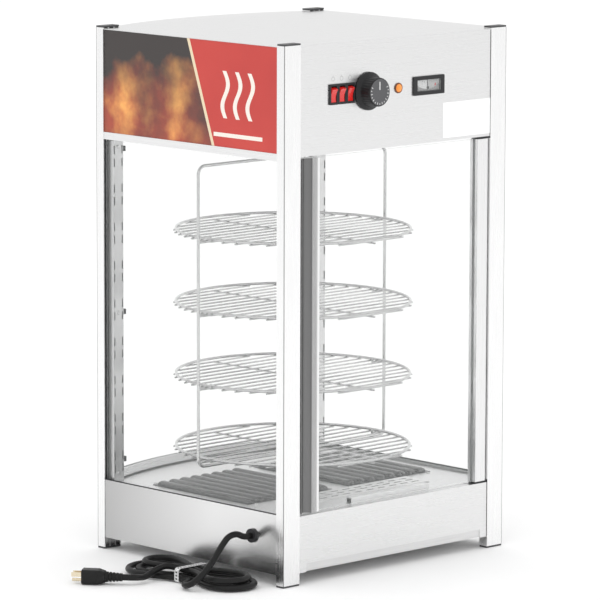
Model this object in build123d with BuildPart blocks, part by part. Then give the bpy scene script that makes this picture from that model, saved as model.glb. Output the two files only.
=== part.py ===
from build123d import *
import os
from math import cos, pi, radians, sin, sqrt, tan

os.makedirs("parts", exist_ok=True)

# Rotating display case for hot food, about 466 x 476 x 806 mm.
# The customer's side is the bowed front (-Y), the door and the controls are at the rear (+Y).
# All sizes are in millimetres. The origin is on the floor, under the middle of the case.

# Driving sizes: the cabinet as a whole
cabinet_width = 466.0
cabinet_depth = 414.0
cabinet_height = 806.0
bow_rise = 38.0
knob_reach = 24.0

# Driving sizes: the corner posts, an extrusion with three glazing channels
post_width = 33.0
post_depth = 16.0
post_wall = 2.0
post_back = 2.5
post_rib = 1.5
glazing_channel = 8.0
cap_thickness = 2.5

# Driving sizes: heights of the base, the glazing and the header
base_bottom = 18.0
base_top = 108.0
rear_base_top = 103.5
deck_top = 104.0
rail_height = 11.0
header_bottom = 634.0
panel_bottom = 639.0
header_top = 801.0
front_sill_height = 10.0

# Driving sizes: sheets and glass
sheet = 1.2
pan_sheet = 1.0
glass = 4.0
door_glass_thickness = 5.0
sign_sheet = 3.0
face_set = 1.0
rail_depth = 10.0
seat_flange = 13.0

# Driving sizes: the turntable
axis_back = 17.0
rack_count = 4
rack_radius = 182.0
rack_bottom = 158.0
rack_pitch = 112.0
rim_wire = 4.5
rack_wire = 2.8
rack_wire_pitch = 22.6
rack_wires = 16
rack_overhang = 2.5
carrier_radius = 197.4
carrier_wire = 5.0
carrier_top = 605.0
carrier_bottom = 147.0
carrier_bend = 13.0
hook_wire = 4.0
shaft_radius = 5.0
hub_radius = 18.0

# Driving sizes: the door
door_gap = 0.3
door_stile = 37.0
hinge_stile = 27.0
pivot_pin = 3.0
pivot_plate = 3.0
door_side_gap = 2.2

# Driving sizes: the controls, with X of each centre on the panel
control_height = 726.3
rocker_edge = 83.9
rocker_pitch = 17.3
bezel_width = 17.0
bezel_height = 30.6
knob_x = 61.0
knob_diameter = 57.0
knob_grip = 43.0
pilot_x = -2.0
pilot_diameter = 16.0
thermometer_x = -65.5
thermometer_width = 65.0
thermometer_height = 28.5

# Driving sizes: the floor fittings
flute_pitch = 22.0
flute_width = 19.0
flute_height = 7.0
flutes = 8
flute_start = 18.0
element_diameter = 8.0
pan_length = 246.0
pan_width = 40.0
pan_depth = 28.0
pan_rim = 6.0
pan_back = 85.0
cover_margin = 3.0
cover_gap = 6.5
bar_length = 165.0

# Driving sizes: the cord, its bundle and its plug
cord_diameter = 9.5
cord_height = 70.0
cord_back = 68.0
bundle_x = 286.0
bundle_y = 70.0
bundle_half = 76.0
bundle_step = 11.0
bundle_draw = 19.0
bundle_first = 49.0
tie_width = 9.0
tie_sheet = 1.0

# Worked out from the driving sizes
half_w = cabinet_width / 2
mid_y = (bow_rise - knob_reach) / 2
rear_y = mid_y + cabinet_depth / 2
front_y = mid_y - cabinet_depth / 2
inner_x = half_w - post_width
inner_rear = rear_y - post_depth
inner_front = front_y + post_depth
clear_y = inner_rear - inner_front
touch = 0.3
shell_x = half_w - face_set
bow_chord = inner_x
bow_sagitta = bow_rise + face_set
bow_radius = (bow_chord ** 2 + bow_sagitta ** 2) / (2 * bow_sagitta)
bow_y = front_y - bow_rise + bow_radius
axis_y = mid_y - axis_back
post_top = cabinet_height - cap_thickness
glass_out = post_wall + 2.0
cord_y = rear_y - cord_back
water_x = -4.0
water_y = rear_y - pan_back
cover_rear = water_y - pan_width / 2 - pan_rim - cover_gap
flute_length = 2 * (cover_rear - cover_margin - axis_y)
corners = [(sx, sy) for sx in (1, -1) for sy in (-1, 1)]
corner_names = {(1, -1): "front_right", (1, 1): "rear_right", (-1, -1): "front_left", (-1, 1): "rear_left"}


def keep(builder, node):
    """Label a finished piece and write it as one file."""
    builder.part.label = node
    export_step(builder.part, f"parts/{node}.step")


def bow_y_at(x, inset=0.0):
    """Y of the bowed front, set back by an inset, at a given X."""
    return bow_y - sqrt((bow_radius - inset) ** 2 - x ** 2)


def bow_band(outer_inset, inner_inset, half_chord):
    """Plan of a bowed strip between two arcs about one centre, cut square at its ends."""
    ends = [half_chord, -half_chord]
    with BuildSketch() as plan:
        with BuildLine():
            outer = ThreePointArc(
                (ends[0], bow_y_at(ends[0], outer_inset)),
                (0, bow_y_at(0, outer_inset)),
                (ends[1], bow_y_at(ends[1], outer_inset)),
            )
            inner = ThreePointArc(
                (ends[1], bow_y_at(ends[1], inner_inset)),
                (0, bow_y_at(0, inner_inset)),
                (ends[0], bow_y_at(ends[0], inner_inset)),
            )
            Line(outer @ 1, inner @ 0)
            Line(inner @ 1, outer @ 0)
        make_face()
    return plan.sketch


def floor_plan(half_x, y_front, y_rear, notch_x, notch_front, notch_rear):
    """Plan of a flat sheet between the side panels, with its corners cut out for the posts."""
    with BuildSketch() as plan:
        with Locations((0, (notch_front + notch_rear) / 2)):
            Rectangle(2 * half_x, notch_rear - notch_front)
        with Locations((0, (y_front + y_rear) / 2)):
            Rectangle(2 * notch_x, y_rear - y_front)
    return plan.sketch


def bow_segment(inset, y_back):
    """Plan of the part of a sheet that fills the bow, from a straight line out to the arc."""
    with BuildSketch() as plan:
        with BuildLine():
            arc = ThreePointArc(
                (inner_x, bow_y_at(inner_x, inset)),
                (0, bow_y_at(0, inset)),
                (-inner_x, bow_y_at(inner_x, inset)),
            )
            Polyline(arc @ 1, (-inner_x, y_back), (inner_x, y_back), arc @ 0)
        make_face()
    return plan.sketch


# The four corner posts: a back web with four ribs, open towards the facing post
middle_channel = (
    post_width - 2 * post_wall - 2 * glazing_channel - 2 * post_rib
)
channel_widths = [glazing_channel, middle_channel, glazing_channel]
channel_centres = [
    half_w - post_wall - glazing_channel / 2,
    half_w - post_wall - glazing_channel - post_rib - middle_channel / 2,
    inner_x + post_wall + glazing_channel / 2,
]
for sx, sy in corners:
    outer_y = rear_y if sy > 0 else front_y
    post_mid_y = outer_y - sy * post_depth / 2
    with BuildPart() as post:
        with BuildSketch(Plane.XY.offset(cap_thickness)):
            with Locations((sx * (half_w - post_width / 2), post_mid_y)):
                Rectangle(post_width, post_depth)
            for centre, width in zip(channel_centres, channel_widths):
                with Locations((sx * centre, post_mid_y - sy * post_back)):
                    Rectangle(width, post_depth, mode=Mode.SUBTRACT)
        extrude(amount=post_top - cap_thickness)
    keep(post, "post_" + corner_names[sx, sy])

# Moulded end caps: four on top, and four underneath that are the feet
cap_places = [
    (sx * (half_w - post_width / 2), (rear_y if sy > 0 else front_y) - sy * post_depth / 2)
    for sx, sy in corners
]
with BuildPart() as caps:
    for base in (0.0, post_top):
        with BuildSketch(Plane.XY.offset(base)):
            with Locations(*cap_places):
                RectangleRounded(post_width, post_depth, 1.0)
        extrude(amount=cap_thickness)
keep(caps, "post_end_caps")

# Slotted uprights: U section strips on the front posts, with pairs of slots
upright_width = 20.0
upright_depth = 13.0
upright_x = half_w - glass_out - glass - touch - upright_width / 2
upright_top = header_bottom - 2.0
slot_length = 13.0
slot_width = 2.2
slot_pair = 19.5
slot_group = 59.0
slot_start = 22.0
upright_height = upright_top - deck_top
slot_groups = int((upright_height - slot_start - slot_pair) // slot_group) + 1
with BuildPart() as uprights:
    for sx in (1, -1):
        with BuildSketch(Plane.XY.offset(deck_top)):
            with Locations((sx * upright_x, inner_front + upright_depth / 2)):
                Rectangle(upright_width, upright_depth)
            with Locations((sx * upright_x, inner_front + upright_depth / 2 - sheet)):
                Rectangle(upright_width - 2 * sheet, upright_depth, mode=Mode.SUBTRACT)
        extrude(amount=upright_height)
    slot_heights = []
    for group in range(slot_groups):
        for place in (0.0, slot_pair):
            slot_heights.append(deck_top + slot_start + group * slot_group + place)
    with BuildSketch(Plane.XZ.offset(-(inner_front + upright_depth))):
        for sx in (1, -1):
            for side in (1, -1):
                for height in slot_heights:
                    with Locations((sx * upright_x + side * (upright_width / 2 - slot_width), height)):
                        Rectangle(slot_width, slot_length)
    extrude(amount=2 * sheet, mode=Mode.SUBTRACT)
keep(uprights, "slotted_uprights")

# Base side panels: sheet with an inturned seat at the top and a flange at the bottom
side_seat = half_w - glass_out - glass
for sx, node in ((1, "base_side_right"), (-1, "base_side_left")):
    with BuildPart() as side:
        with BuildSketch(Plane.XZ.offset(-inner_rear)):
            with BuildLine():
                Polyline(
                    (sx * shell_x, base_bottom),
                    (sx * shell_x, base_top),
                    (sx * side_seat, base_top),
                    (sx * side_seat, base_top - sheet),
                    (sx * (shell_x - sheet), base_top - sheet),
                    (sx * (shell_x - sheet), base_bottom + sheet),
                    (sx * (shell_x - seat_flange), base_bottom + sheet),
                    (sx * (shell_x - seat_flange), base_bottom),
                    close=True,
                )
            make_face()
        extrude(amount=clear_y)
        if sx > 0:
            with BuildSketch(Plane.YZ.offset(shell_x)):
                with Locations((cord_y, cord_height)):
                    Circle(7.0)
            extrude(amount=-sheet, mode=Mode.SUBTRACT)
    keep(side, node)

# Rear base panel: sheet with a top flange and a long notch along its lower edge
notch_height = 13.0
notch_side = 15.0
with BuildPart() as base_rear:
    with BuildSketch(Plane.YZ.offset(-inner_x)):
        with BuildLine():
            Polyline(
                (rear_y - face_set, base_bottom),
                (rear_y - face_set, rear_base_top),
                (rear_y - face_set - seat_flange, rear_base_top),
                (rear_y - face_set - seat_flange, rear_base_top - sheet),
                (rear_y - face_set - sheet, rear_base_top - sheet),
                (rear_y - face_set - sheet, base_bottom),
                close=True,
            )
        make_face()
    extrude(amount=2 * inner_x)
    with BuildSketch(Plane.XZ.offset(-(rear_y - face_set))):
        with Locations((0, base_bottom + notch_height / 2)):
            Rectangle(2 * (inner_x - notch_side), notch_height)
    extrude(amount=sheet, mode=Mode.SUBTRACT)
keep(base_rear, "base_rear")

# Bowed front base panel with its inturned seat for the glass rail
with BuildPart() as base_front:
    with BuildSketch(Plane.XY.offset(base_bottom)):
        add(bow_band(0.0, sheet, inner_x))
    extrude(amount=base_top - base_bottom)
    with BuildSketch(Plane.XY.offset(base_top - sheet)):
        add(bow_band(0.0, seat_flange, inner_x))
    extrude(amount=sheet)
keep(base_front, "base_front")

# Bottom pan: flat sheet on the side flanges, with a turned up rear edge
pan_bottom = base_bottom + sheet
pan_rear = rear_y - face_set - sheet
with BuildPart() as bottom_pan:
    with BuildSketch(Plane.XY.offset(pan_bottom)):
        add(floor_plan(shell_x - sheet, inner_front, pan_rear, inner_x, inner_front, inner_rear))
        add(bow_segment(sheet, inner_front))
    extrude(amount=pan_sheet)
    with BuildSketch(Plane.XY.offset(pan_bottom)):
        with Locations((0, pan_rear - pan_sheet / 2)):
            Rectangle(2 * inner_x, pan_sheet)
    extrude(amount=42.0)
keep(bottom_pan, "bottom_pan")
pan_floor = pan_bottom + pan_sheet

# Floor deck of the cabinet, with openings for the drive shaft and the water pan
deck_bottom = deck_top - sheet
with BuildPart() as floor_deck:
    with BuildSketch(Plane.XY.offset(deck_bottom)):
        deck_rear = rear_y - face_set - seat_flange
        add(floor_plan(shell_x - sheet, inner_front, deck_rear, inner_x, inner_front, inner_rear))
        add(bow_segment(sheet, inner_front))
        with Locations((0, axis_y)):
            Circle(shaft_radius + 3.0, mode=Mode.SUBTRACT)
        with Locations((water_x, water_y)):
            Rectangle(pan_length, pan_width, mode=Mode.SUBTRACT)
    extrude(amount=sheet)
keep(floor_deck, "floor_deck")

# Fluted heater covers, one each side of the shaft
cover_sheet = 1.0
cover_mid = flute_start + flutes * flute_pitch / 2
flute_x = [flute_start + flute_pitch * (index + 0.5) for index in range(flutes)]
with BuildPart() as covers:
    with BuildSketch(Plane.XY.offset(deck_top)):
        with Locations((cover_mid, axis_y), (-cover_mid, axis_y)):
            Rectangle(flutes * flute_pitch, flute_length + 2 * cover_margin)
    extrude(amount=cover_sheet)
    with BuildSketch(Plane.XY.offset(deck_top)):
        with Locations(*[(sx * x, axis_y) for sx in (1, -1) for x in flute_x]):
            SlotOverall(flute_length, flute_width, rotation=90)
    extrude(amount=flute_height)
    tops = covers.edges().filter_by(lambda edge: edge.center().Z > deck_top + flute_height - 0.01)
    fillet(tops, radius=flute_height - cover_sheet - 0.5)
keep(covers, "heater_covers")

# Tubular heating elements, one U under each cover
element_r = element_diameter / 2
element_z = deck_bottom - element_r - 0.2
element_span = 60.0
with BuildPart() as elements:
    for sx in (1, -1):
        element_x = sx * cover_mid
        with BuildLine(Plane.XY.offset(element_z)):
            FilletPolyline(
                (element_x - element_span, axis_y + flute_length / 2),
                (element_x - element_span, axis_y - flute_length / 2),
                (element_x + element_span, axis_y - flute_length / 2),
                (element_x + element_span, axis_y + flute_length / 2),
                radius=25.0,
            )
        with BuildSketch(Plane((element_x - element_span, axis_y + flute_length / 2, element_z),
                               x_dir=(1, 0, 0), z_dir=(0, -1, 0))):
            Circle(element_r)
        sweep()
keep(elements, "heating_elements")

# Water pan hung in the deck by its rim, and its perforated lid
with BuildPart() as water_pan:
    with BuildSketch(Plane.XY.offset(deck_top)):
        with Locations((water_x, water_y)):
            Rectangle(pan_length + 2 * pan_rim, pan_width + 2 * pan_rim)
    extrude(amount=pan_sheet)
    with BuildSketch(Plane.XY.offset(deck_top - pan_depth)):
        with Locations((water_x, water_y)):
            RectangleRounded(pan_length - 1.0, pan_width - 1.0, 4.0)
    extrude(amount=pan_depth)
    with BuildSketch(Plane.XY.offset(deck_top - pan_depth + pan_sheet)):
        with Locations((water_x, water_y)):
            RectangleRounded(pan_length - 1.0 - 2 * pan_sheet, pan_width - 1.0 - 2 * pan_sheet, 3.0)
    extrude(amount=pan_depth, mode=Mode.SUBTRACT)
keep(water_pan, "water_pan")

lid_columns = 10
lid_rows = 3
with BuildPart() as pan_lid:
    with BuildSketch(Plane.XY.offset(deck_top + pan_sheet)):
        with Locations((water_x, water_y)):
            RectangleRounded(pan_length + 2 * pan_rim, pan_width + 2 * pan_rim, 2.0)
            with GridLocations(pan_length / lid_columns, pan_width / lid_rows, lid_columns, lid_rows):
                SlotOverall(pan_length / lid_columns - 9.0, 3.5, mode=Mode.SUBTRACT)
    extrude(amount=pan_sheet)
keep(pan_lid, "water_pan_lid")

# Crumb bar: a low channel along the rear of the deck, behind the water pan
bar_x = -12.0
bar_y = rear_y - face_set - seat_flange - 14.0
with BuildPart() as deck_bar:
    with BuildSketch(Plane.YZ.offset(bar_x - bar_length / 2)):
        with Locations((bar_y, deck_top + 4.0)):
            Rectangle(11.0, 8.0)
        with Locations((bar_y, deck_top + 3.0)):
            Rectangle(8.6, 6.4, mode=Mode.SUBTRACT)
    extrude(amount=bar_length)
keep(deck_bar, "deck_bar")

# Gearmotor on the bottom pan, with a bored boss for the drive shaft
motor_top = 76.0
with BuildPart() as gearmotor:
    with BuildSketch(Plane.XY.offset(pan_floor)):
        with Locations((0, axis_y)):
            RectangleRounded(78.0, 62.0, 8.0)
    extrude(amount=3.0)
    with BuildSketch(Plane.XY.offset(pan_floor + 3.0)):
        with Locations((10.0, axis_y)):
            Circle(25.0)
    extrude(amount=26.0)
    with BuildSketch(Plane.XY.offset(pan_floor + 29.0)):
        with Locations((0, axis_y)):
            RectangleRounded(64.0, 48.0, 10.0)
    extrude(amount=motor_top - 8.0 - pan_floor - 29.0)
    with BuildSketch(Plane.XY.offset(motor_top - 8.0)):
        with Locations((0, axis_y)):
            Circle(11.0)
    extrude(amount=8.0)
    with BuildSketch(Plane.XY.offset(motor_top)):
        with Locations((0, axis_y)):
            Circle(shaft_radius + 0.05)
    extrude(amount=-24.0, mode=Mode.SUBTRACT)
keep(gearmotor, "gearmotor")

# Drive hub: a shaft with a slotted head that carries the wire carrier
hub_bottom = 124.0
shaft_bottom = motor_top - 23.5
with BuildPart() as drive_hub:
    with BuildSketch(Plane.XY.offset(shaft_bottom)):
        with Locations((0, axis_y)):
            Circle(shaft_radius)
    extrude(amount=hub_bottom - shaft_bottom)
    with BuildSketch(Plane.XY.offset(hub_bottom)):
        with Locations((0, axis_y)):
            Circle(hub_radius)
    extrude(amount=carrier_bottom + carrier_wire / 2 - hub_bottom)
    with BuildSketch(Plane.XY.offset(carrier_bottom - carrier_wire / 2)):
        with Locations((0, axis_y)):
            Rectangle(2 * hub_radius, carrier_wire + 0.2)
    extrude(amount=carrier_wire, mode=Mode.SUBTRACT)
keep(drive_hub, "drive_hub")

# Wire carrier: one rectangle of bent wire, with a pair of hooks under each rack
rack_levels = [rack_bottom + index * rack_pitch for index in range(rack_count)]
hook_drop = rim_wire / 2 + hook_wire / 2 + 0.05
hook_inner = rack_radius - rim_wire / 2 - 8.0
with BuildPart() as carrier:
    with BuildLine(Plane.XZ.offset(-axis_y)) as loop:
        FilletPolyline(
            (carrier_radius, carrier_bottom),
            (carrier_radius, carrier_top),
            (-carrier_radius, carrier_top),
            (-carrier_radius, carrier_bottom),
            radius=carrier_bend,
            close=True,
        )
    with BuildSketch(Plane(origin=loop.line @ 0, x_dir=(0, 1, 0), z_dir=loop.line % 0)):
        Circle(carrier_wire / 2)
    sweep()
    for level in rack_levels:
        for sx in (1, -1):
            with BuildSketch(Plane.YZ.offset(sx * hook_inner)):
                with Locations((axis_y, level - hook_drop)):
                    Circle(hook_wire / 2)
            extrude(amount=sx * (carrier_radius - hook_inner))
            with BuildSketch(Plane.XY.offset(level - hook_drop)):
                with Locations((sx * hook_inner, axis_y)):
                    Circle(hook_wire / 2)
            extrude(amount=hook_drop + 2.0)
keep(carrier, "wire_carrier")

# Wire racks: a rim over parallel wires, with one stretcher below them
rim_middle = rack_radius - rim_wire / 2
wire_drop = (rim_wire + rack_wire) / 2 - 0.3
stretcher_drop = wire_drop + rack_wire - 0.3
wire_places = [(index - (rack_wires - 1) / 2) * rack_wire_pitch for index in range(rack_wires)]
with BuildPart() as rack_pattern:
    with BuildSketch(Plane.XZ):
        with Locations((rim_middle, 0)):
            Circle(rim_wire / 2)
    revolve(axis=Axis.Z)
    for place in wire_places:
        half_run = sqrt(max(rack_radius ** 2 - place ** 2, 0.0)) + rack_overhang
        with BuildSketch(Plane.YZ.offset(-half_run)):
            with Locations((place, -wire_drop)):
                Circle(rack_wire / 2)
        extrude(amount=2 * half_run)
    with BuildSketch(Plane.XZ.offset(-rim_middle)):
        with Locations((0, -stretcher_drop)):
            Circle(rack_wire / 2)
    extrude(amount=2 * rim_middle)
for index, level in enumerate(rack_levels):
    with BuildPart() as rack:
        add(rack_pattern.part.moved(Location((0, axis_y, level))))
    keep(rack, f"rack_{index + 1}")

# Roof: a flat sheet, and a front strip whose edge follows the bow
roof_sheet = 1.2
with BuildPart() as roof:
    with BuildSketch(Plane.XY.offset(header_top)):
        add(floor_plan(shell_x, inner_front, rear_y - face_set, inner_x, inner_front, inner_rear))
    extrude(amount=roof_sheet)
keep(roof, "roof_panel")
with BuildPart() as roof_front:
    with BuildSketch(Plane.XY.offset(header_top)):
        add(bow_segment(0.0, inner_front))
    extrude(amount=roof_sheet)
keep(roof_front, "roof_front_strip")

# Header rails over the side glass, and the two bowed rails at the front
glass_slot = glass + 0.4
sign_slot = sign_sheet + 0.4
glass_seat = 5.0
sign_seat = 3.0
sign_out = post_wall + 0.2
sign_bottom = header_bottom + rail_height - sign_seat + 0.2
glass_top = header_bottom + glass_seat - 0.2
with BuildPart() as side_rails:
    for sx in (1, -1):
        with BuildSketch(Plane.XZ.offset(-inner_rear)):
            with Locations((sx * (shell_x - rail_depth / 2), header_bottom + rail_height / 2)):
                Rectangle(rail_depth, rail_height)
            with Locations((sx * (half_w - glass_out - glass / 2), header_bottom + glass_seat / 2)):
                Rectangle(glass_slot, glass_seat, mode=Mode.SUBTRACT)
            sign_seat_z = header_bottom + rail_height - sign_seat / 2
            with Locations((sx * (half_w - sign_out - sign_sheet / 2), sign_seat_z)):
                Rectangle(sign_slot, sign_seat, mode=Mode.SUBTRACT)
        extrude(amount=clear_y)
keep(side_rails, "side_header_rails")

sill_top = base_top + front_sill_height
sill_groove = 6.0
with BuildPart() as front_rails:
    with BuildSketch(Plane.XY.offset(base_top)):
        add(bow_band(0.2, rail_depth, inner_x))
    extrude(amount=front_sill_height)
    with BuildSketch(Plane.XY.offset(sill_top - sill_groove)):
        add(bow_band(glass_out - face_set - 0.2, glass_out - face_set + glass + 0.2, inner_x))
    extrude(amount=sill_groove, mode=Mode.SUBTRACT)
    with BuildSketch(Plane.XY.offset(header_bottom)):
        add(bow_band(0.2, rail_depth, inner_x))
    extrude(amount=rail_height)
    with BuildSketch(Plane.XY.offset(header_bottom)):
        add(bow_band(glass_out - face_set - 0.2, glass_out - face_set + glass + 0.2, inner_x))
    extrude(amount=glass_seat, mode=Mode.SUBTRACT)
    with BuildSketch(Plane.XY.offset(header_bottom + rail_height - sign_seat)):
        add(bow_band(sign_out - face_set - 0.2, sign_out - face_set + sign_sheet + 0.2, inner_x))
    extrude(amount=sign_seat, mode=Mode.SUBTRACT)
keep(front_rails, "front_rails")

# Sign panels on both sides, held in the post channels, and the bowed front sign
channel_grip = 9.0
for sx, node in ((1, "sign_right"), (-1, "sign_left")):
    with BuildPart() as sign:
        with BuildSketch(Plane.XY.offset(sign_bottom)):
            with Locations((sx * (half_w - sign_out - sign_sheet / 2), mid_y)):
                Rectangle(sign_sheet, clear_y + 2 * channel_grip)
        extrude(amount=header_top - sign_bottom)
    keep(sign, node)
with BuildPart() as sign_front:
    with BuildSketch(Plane.XY.offset(sign_bottom)):
        add(bow_band(sign_out - face_set, sign_out - face_set + sign_sheet, inner_x))
    extrude(amount=header_top - sign_bottom)
keep(sign_front, "sign_front")

# Fixed glass: two flat sides in the post channels, and the bowed front
for sx, node in ((1, "glass_right"), (-1, "glass_left")):
    with BuildPart() as pane:
        with BuildSketch(Plane.XY.offset(base_top)):
            with Locations((sx * (half_w - glass_out - glass / 2), mid_y)):
                Rectangle(glass, clear_y + 2 * channel_grip)
        extrude(amount=glass_top - base_top)
    keep(pane, node)
with BuildPart() as glass_front:
    with BuildSketch(Plane.XY.offset(sill_top - sill_groove)):
        add(bow_band(glass_out - face_set, glass_out - face_set + glass, inner_x))
    extrude(amount=glass_top - sill_top + sill_groove)
keep(glass_front, "glass_front")

# Glass clips: small tabs on the uprights, each with a soft pad on the bowed glass
clip_heights = [deck_top + 30.0, (deck_top + header_bottom) / 2 - 6.0, header_bottom - 20.0]
clip_x = upright_x - upright_width / 2 - 7.0
clip_inset = glass_out - face_set + glass + touch
with BuildPart() as clips:
    for sx in (1, -1):
        for height in clip_heights:
            with BuildSketch(Plane.XY.offset(height)):
                with BuildLine():
                    Polyline(
                        (sx * (upright_x - upright_width / 2), inner_front + upright_depth - 2.0),
                        (sx * (upright_x - upright_width / 2), inner_front + 0.5),
                        (sx * (inner_x - 0.5), inner_front + 0.5),
                        (sx * (inner_x - 0.5), bow_y_at(inner_x - 0.5, clip_inset)),
                        (sx * clip_x, bow_y_at(clip_x, clip_inset)),
                        (sx * clip_x, inner_front + upright_depth - 2.0),
                        close=True,
                    )
                make_face()
            extrude(amount=8.0)
keep(clips, "glass_clips")

# Ceiling sheet between the header rails
ceiling_z = panel_bottom + sheet
with BuildPart() as ceiling:
    with BuildSketch(Plane.XY.offset(ceiling_z)):
        ceiling_rear = rear_y - face_set - sheet - 8.0
        add(floor_plan(shell_x - rail_depth, inner_front, ceiling_rear, inner_x, inner_front, inner_rear))
        add(bow_segment(rail_depth, inner_front))
    extrude(amount=pan_sheet)
keep(ceiling, "ceiling_panel")

# Control panel: sheet with inturned top and bottom flanges and the cut-outs
panel_y = rear_y - face_set
panel_flange = 18.0
body_width = 13.4
body_height = 27.0
case_width = 58.0
case_height = 22.0
rocker_places = [inner_x - rocker_edge + rocker_pitch * step for step in (1, 0, -1)]
with BuildPart() as control_panel:
    with BuildSketch(Plane.YZ.offset(-inner_x)):
        with BuildLine():
            Polyline(
                (panel_y, panel_bottom),
                (panel_y, header_top),
                (panel_y - panel_flange, header_top),
                (panel_y - panel_flange, header_top - sheet),
                (panel_y - sheet, header_top - sheet),
                (panel_y - sheet, panel_bottom + sheet),
                (panel_y - panel_flange, panel_bottom + sheet),
                (panel_y - panel_flange, panel_bottom),
                close=True,
            )
        make_face()
    extrude(amount=2 * inner_x)
    with BuildSketch(Plane.XZ.offset(-panel_y)):
        with Locations(*[(place, control_height) for place in rocker_places]):
            Rectangle(body_width, body_height)
        with Locations((thermometer_x, control_height)):
            Rectangle(case_width, case_height)
        with Locations((pilot_x, control_height)):
            Circle(6.0)
        with Locations((knob_x, control_height)):
            Circle(5.0)
    extrude(amount=sheet, mode=Mode.SUBTRACT)
keep(control_panel, "control_panel")

# Rocker switches: three bezels with bodies, and three rockers that tip about X
bezel_stand = 2.2
body_depth = 22.0
rocker_width = 10.6
rocker_length = 22.0
rocker_tilt = 12.0
well_width = 11.4
well_height = 24.4
well_depth = 10.0
rocker_axis_y = panel_y - 6.0
with BuildPart() as switches:
    with BuildSketch(Plane.XZ.offset(-panel_y)):
        with Locations(*[(place, control_height) for place in rocker_places]):
            RectangleRounded(bezel_width, bezel_height, 1.2)
    extrude(amount=-bezel_stand)
    with BuildSketch(Plane.XZ.offset(-panel_y)):
        with Locations(*[(place, control_height) for place in rocker_places]):
            Rectangle(body_width, body_height)
    extrude(amount=body_depth)
    with BuildSketch(Plane.XZ.offset(-panel_y - bezel_stand)):
        with Locations(*[(place, control_height) for place in rocker_places]):
            Rectangle(well_width, well_height)
    extrude(amount=bezel_stand + well_depth, mode=Mode.SUBTRACT)
keep(switches, "switch_bodies")

for index, place in enumerate(rocker_places):
    tilted = Plane(
        origin=(place - rocker_width / 2, rocker_axis_y, control_height), x_dir=(0, 1, 0), z_dir=(1, 0, 0)
    ).rotated((-rocker_tilt, 0, 0))
    with BuildPart() as rocker:
        with BuildSketch(tilted):
            with BuildLine():
                left = (3.0, rocker_length / 2)
                right = (3.0, -rocker_length / 2)
                ThreePointArc(left, (-2.5, 0), right)
                top_left = (9.6, rocker_length / 2 - 1.2)
                top_right = (9.6, 1.2 - rocker_length / 2)
                Line(left, top_left)
                ThreePointArc(top_left, (7.4, 0), top_right)
                Line(top_right, right)
            make_face()
        extrude(amount=rocker_width)
    keep(rocker, f"rocker_{index + 1}")

# Thermostat behind the panel, and the knob on its shaft
spindle = 3.0
spindle_tip = 14.0
with BuildPart() as thermostat:
    with BuildSketch(Plane.XZ.offset(-(panel_y - sheet))):
        with Locations((knob_x, control_height)):
            RectangleRounded(44.0, 36.0, 3.0)
    extrude(amount=32.0)
    with BuildSketch(Plane.XZ.offset(-(panel_y - sheet))):
        with Locations((knob_x, control_height)):
            Circle(spindle)
    extrude(amount=-(sheet + spindle_tip))
keep(thermostat, "thermostat")

knob_back = panel_y + 0.6
knob_face = rear_y + knob_reach
knob_skirt = 5.0
knob_ribs = 30
with BuildPart() as knob:
    with BuildSketch(Plane.XY):
        with BuildLine():
            Polyline(
                (0, knob_back),
                (knob_diameter / 2, knob_back),
                (knob_diameter / 2, knob_back + knob_skirt / 2),
                (knob_grip / 2 + 1.5, knob_back + knob_skirt),
                (knob_grip / 2 + 0.6, knob_back + knob_skirt + 1.5),
                (knob_grip / 2, knob_face - 1.5),
                (knob_grip / 2 - 1.5, knob_face),
                (0, knob_face),
                close=True,
            )
        make_face()
    revolve(axis=Axis((0, 0, 0), (0, 1, 0)))
    rib_places = [360.0 * index / knob_ribs for index in range(knob_ribs)]
    with BuildSketch(Plane.XZ.offset(-knob_face)):
        for angle in rib_places:
            with Locations(Location((knob_grip / 2 * cos(radians(angle)) * 1.02,
                                     knob_grip / 2 * sin(radians(angle)) * 1.02), angle)):
                Rectangle(1.6, 1.8)
    extrude(amount=knob_face - knob_back - knob_skirt - 2.0, mode=Mode.SUBTRACT)
    with BuildSketch(Plane.XZ.offset(-knob_back)):
        Circle(spindle + 0.05)
    extrude(amount=-(spindle_tip + 0.5), mode=Mode.SUBTRACT)
    knob_blank = knob.part
with BuildPart() as knob_placed:
    add(knob_blank.moved(Location((knob_x, 0, control_height))))
keep(knob_placed, "thermostat_knob")

# Pilot lamp: bezel, domed lens and a short body through the panel
lens_r = 6.0
lens_rise = 3.8
lens_foot = panel_y + 1.8
dome_r = (lens_r ** 2 + lens_rise ** 2) / (2 * lens_rise)
dome_mid = (lens_r / 2, lens_foot + lens_rise - dome_r + sqrt(dome_r ** 2 - lens_r ** 2 / 4))
with BuildPart() as pilot:
    with BuildSketch(Plane.XY):
        with BuildLine():
            Polyline((0, panel_y), (pilot_diameter / 2, panel_y), (pilot_diameter / 2, panel_y + 1.2),
                     (lens_r + 0.4, lens_foot), (lens_r, lens_foot))
            ThreePointArc((lens_r, lens_foot), dome_mid, (0, lens_foot + lens_rise))
            Line((0, lens_foot + lens_rise), (0, panel_y))
        make_face()
        with Locations((lens_r / 2 - 0.1, panel_y - 10.0)):
            Rectangle(lens_r - 0.2, 20.0)
    revolve(axis=Axis((0, 0, 0), (0, 1, 0)))
    pilot_blank = pilot.part
with BuildPart() as pilot_placed:
    add(pilot_blank.moved(Location((pilot_x, 0, control_height))))
keep(pilot_placed, "pilot_lamp")

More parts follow.
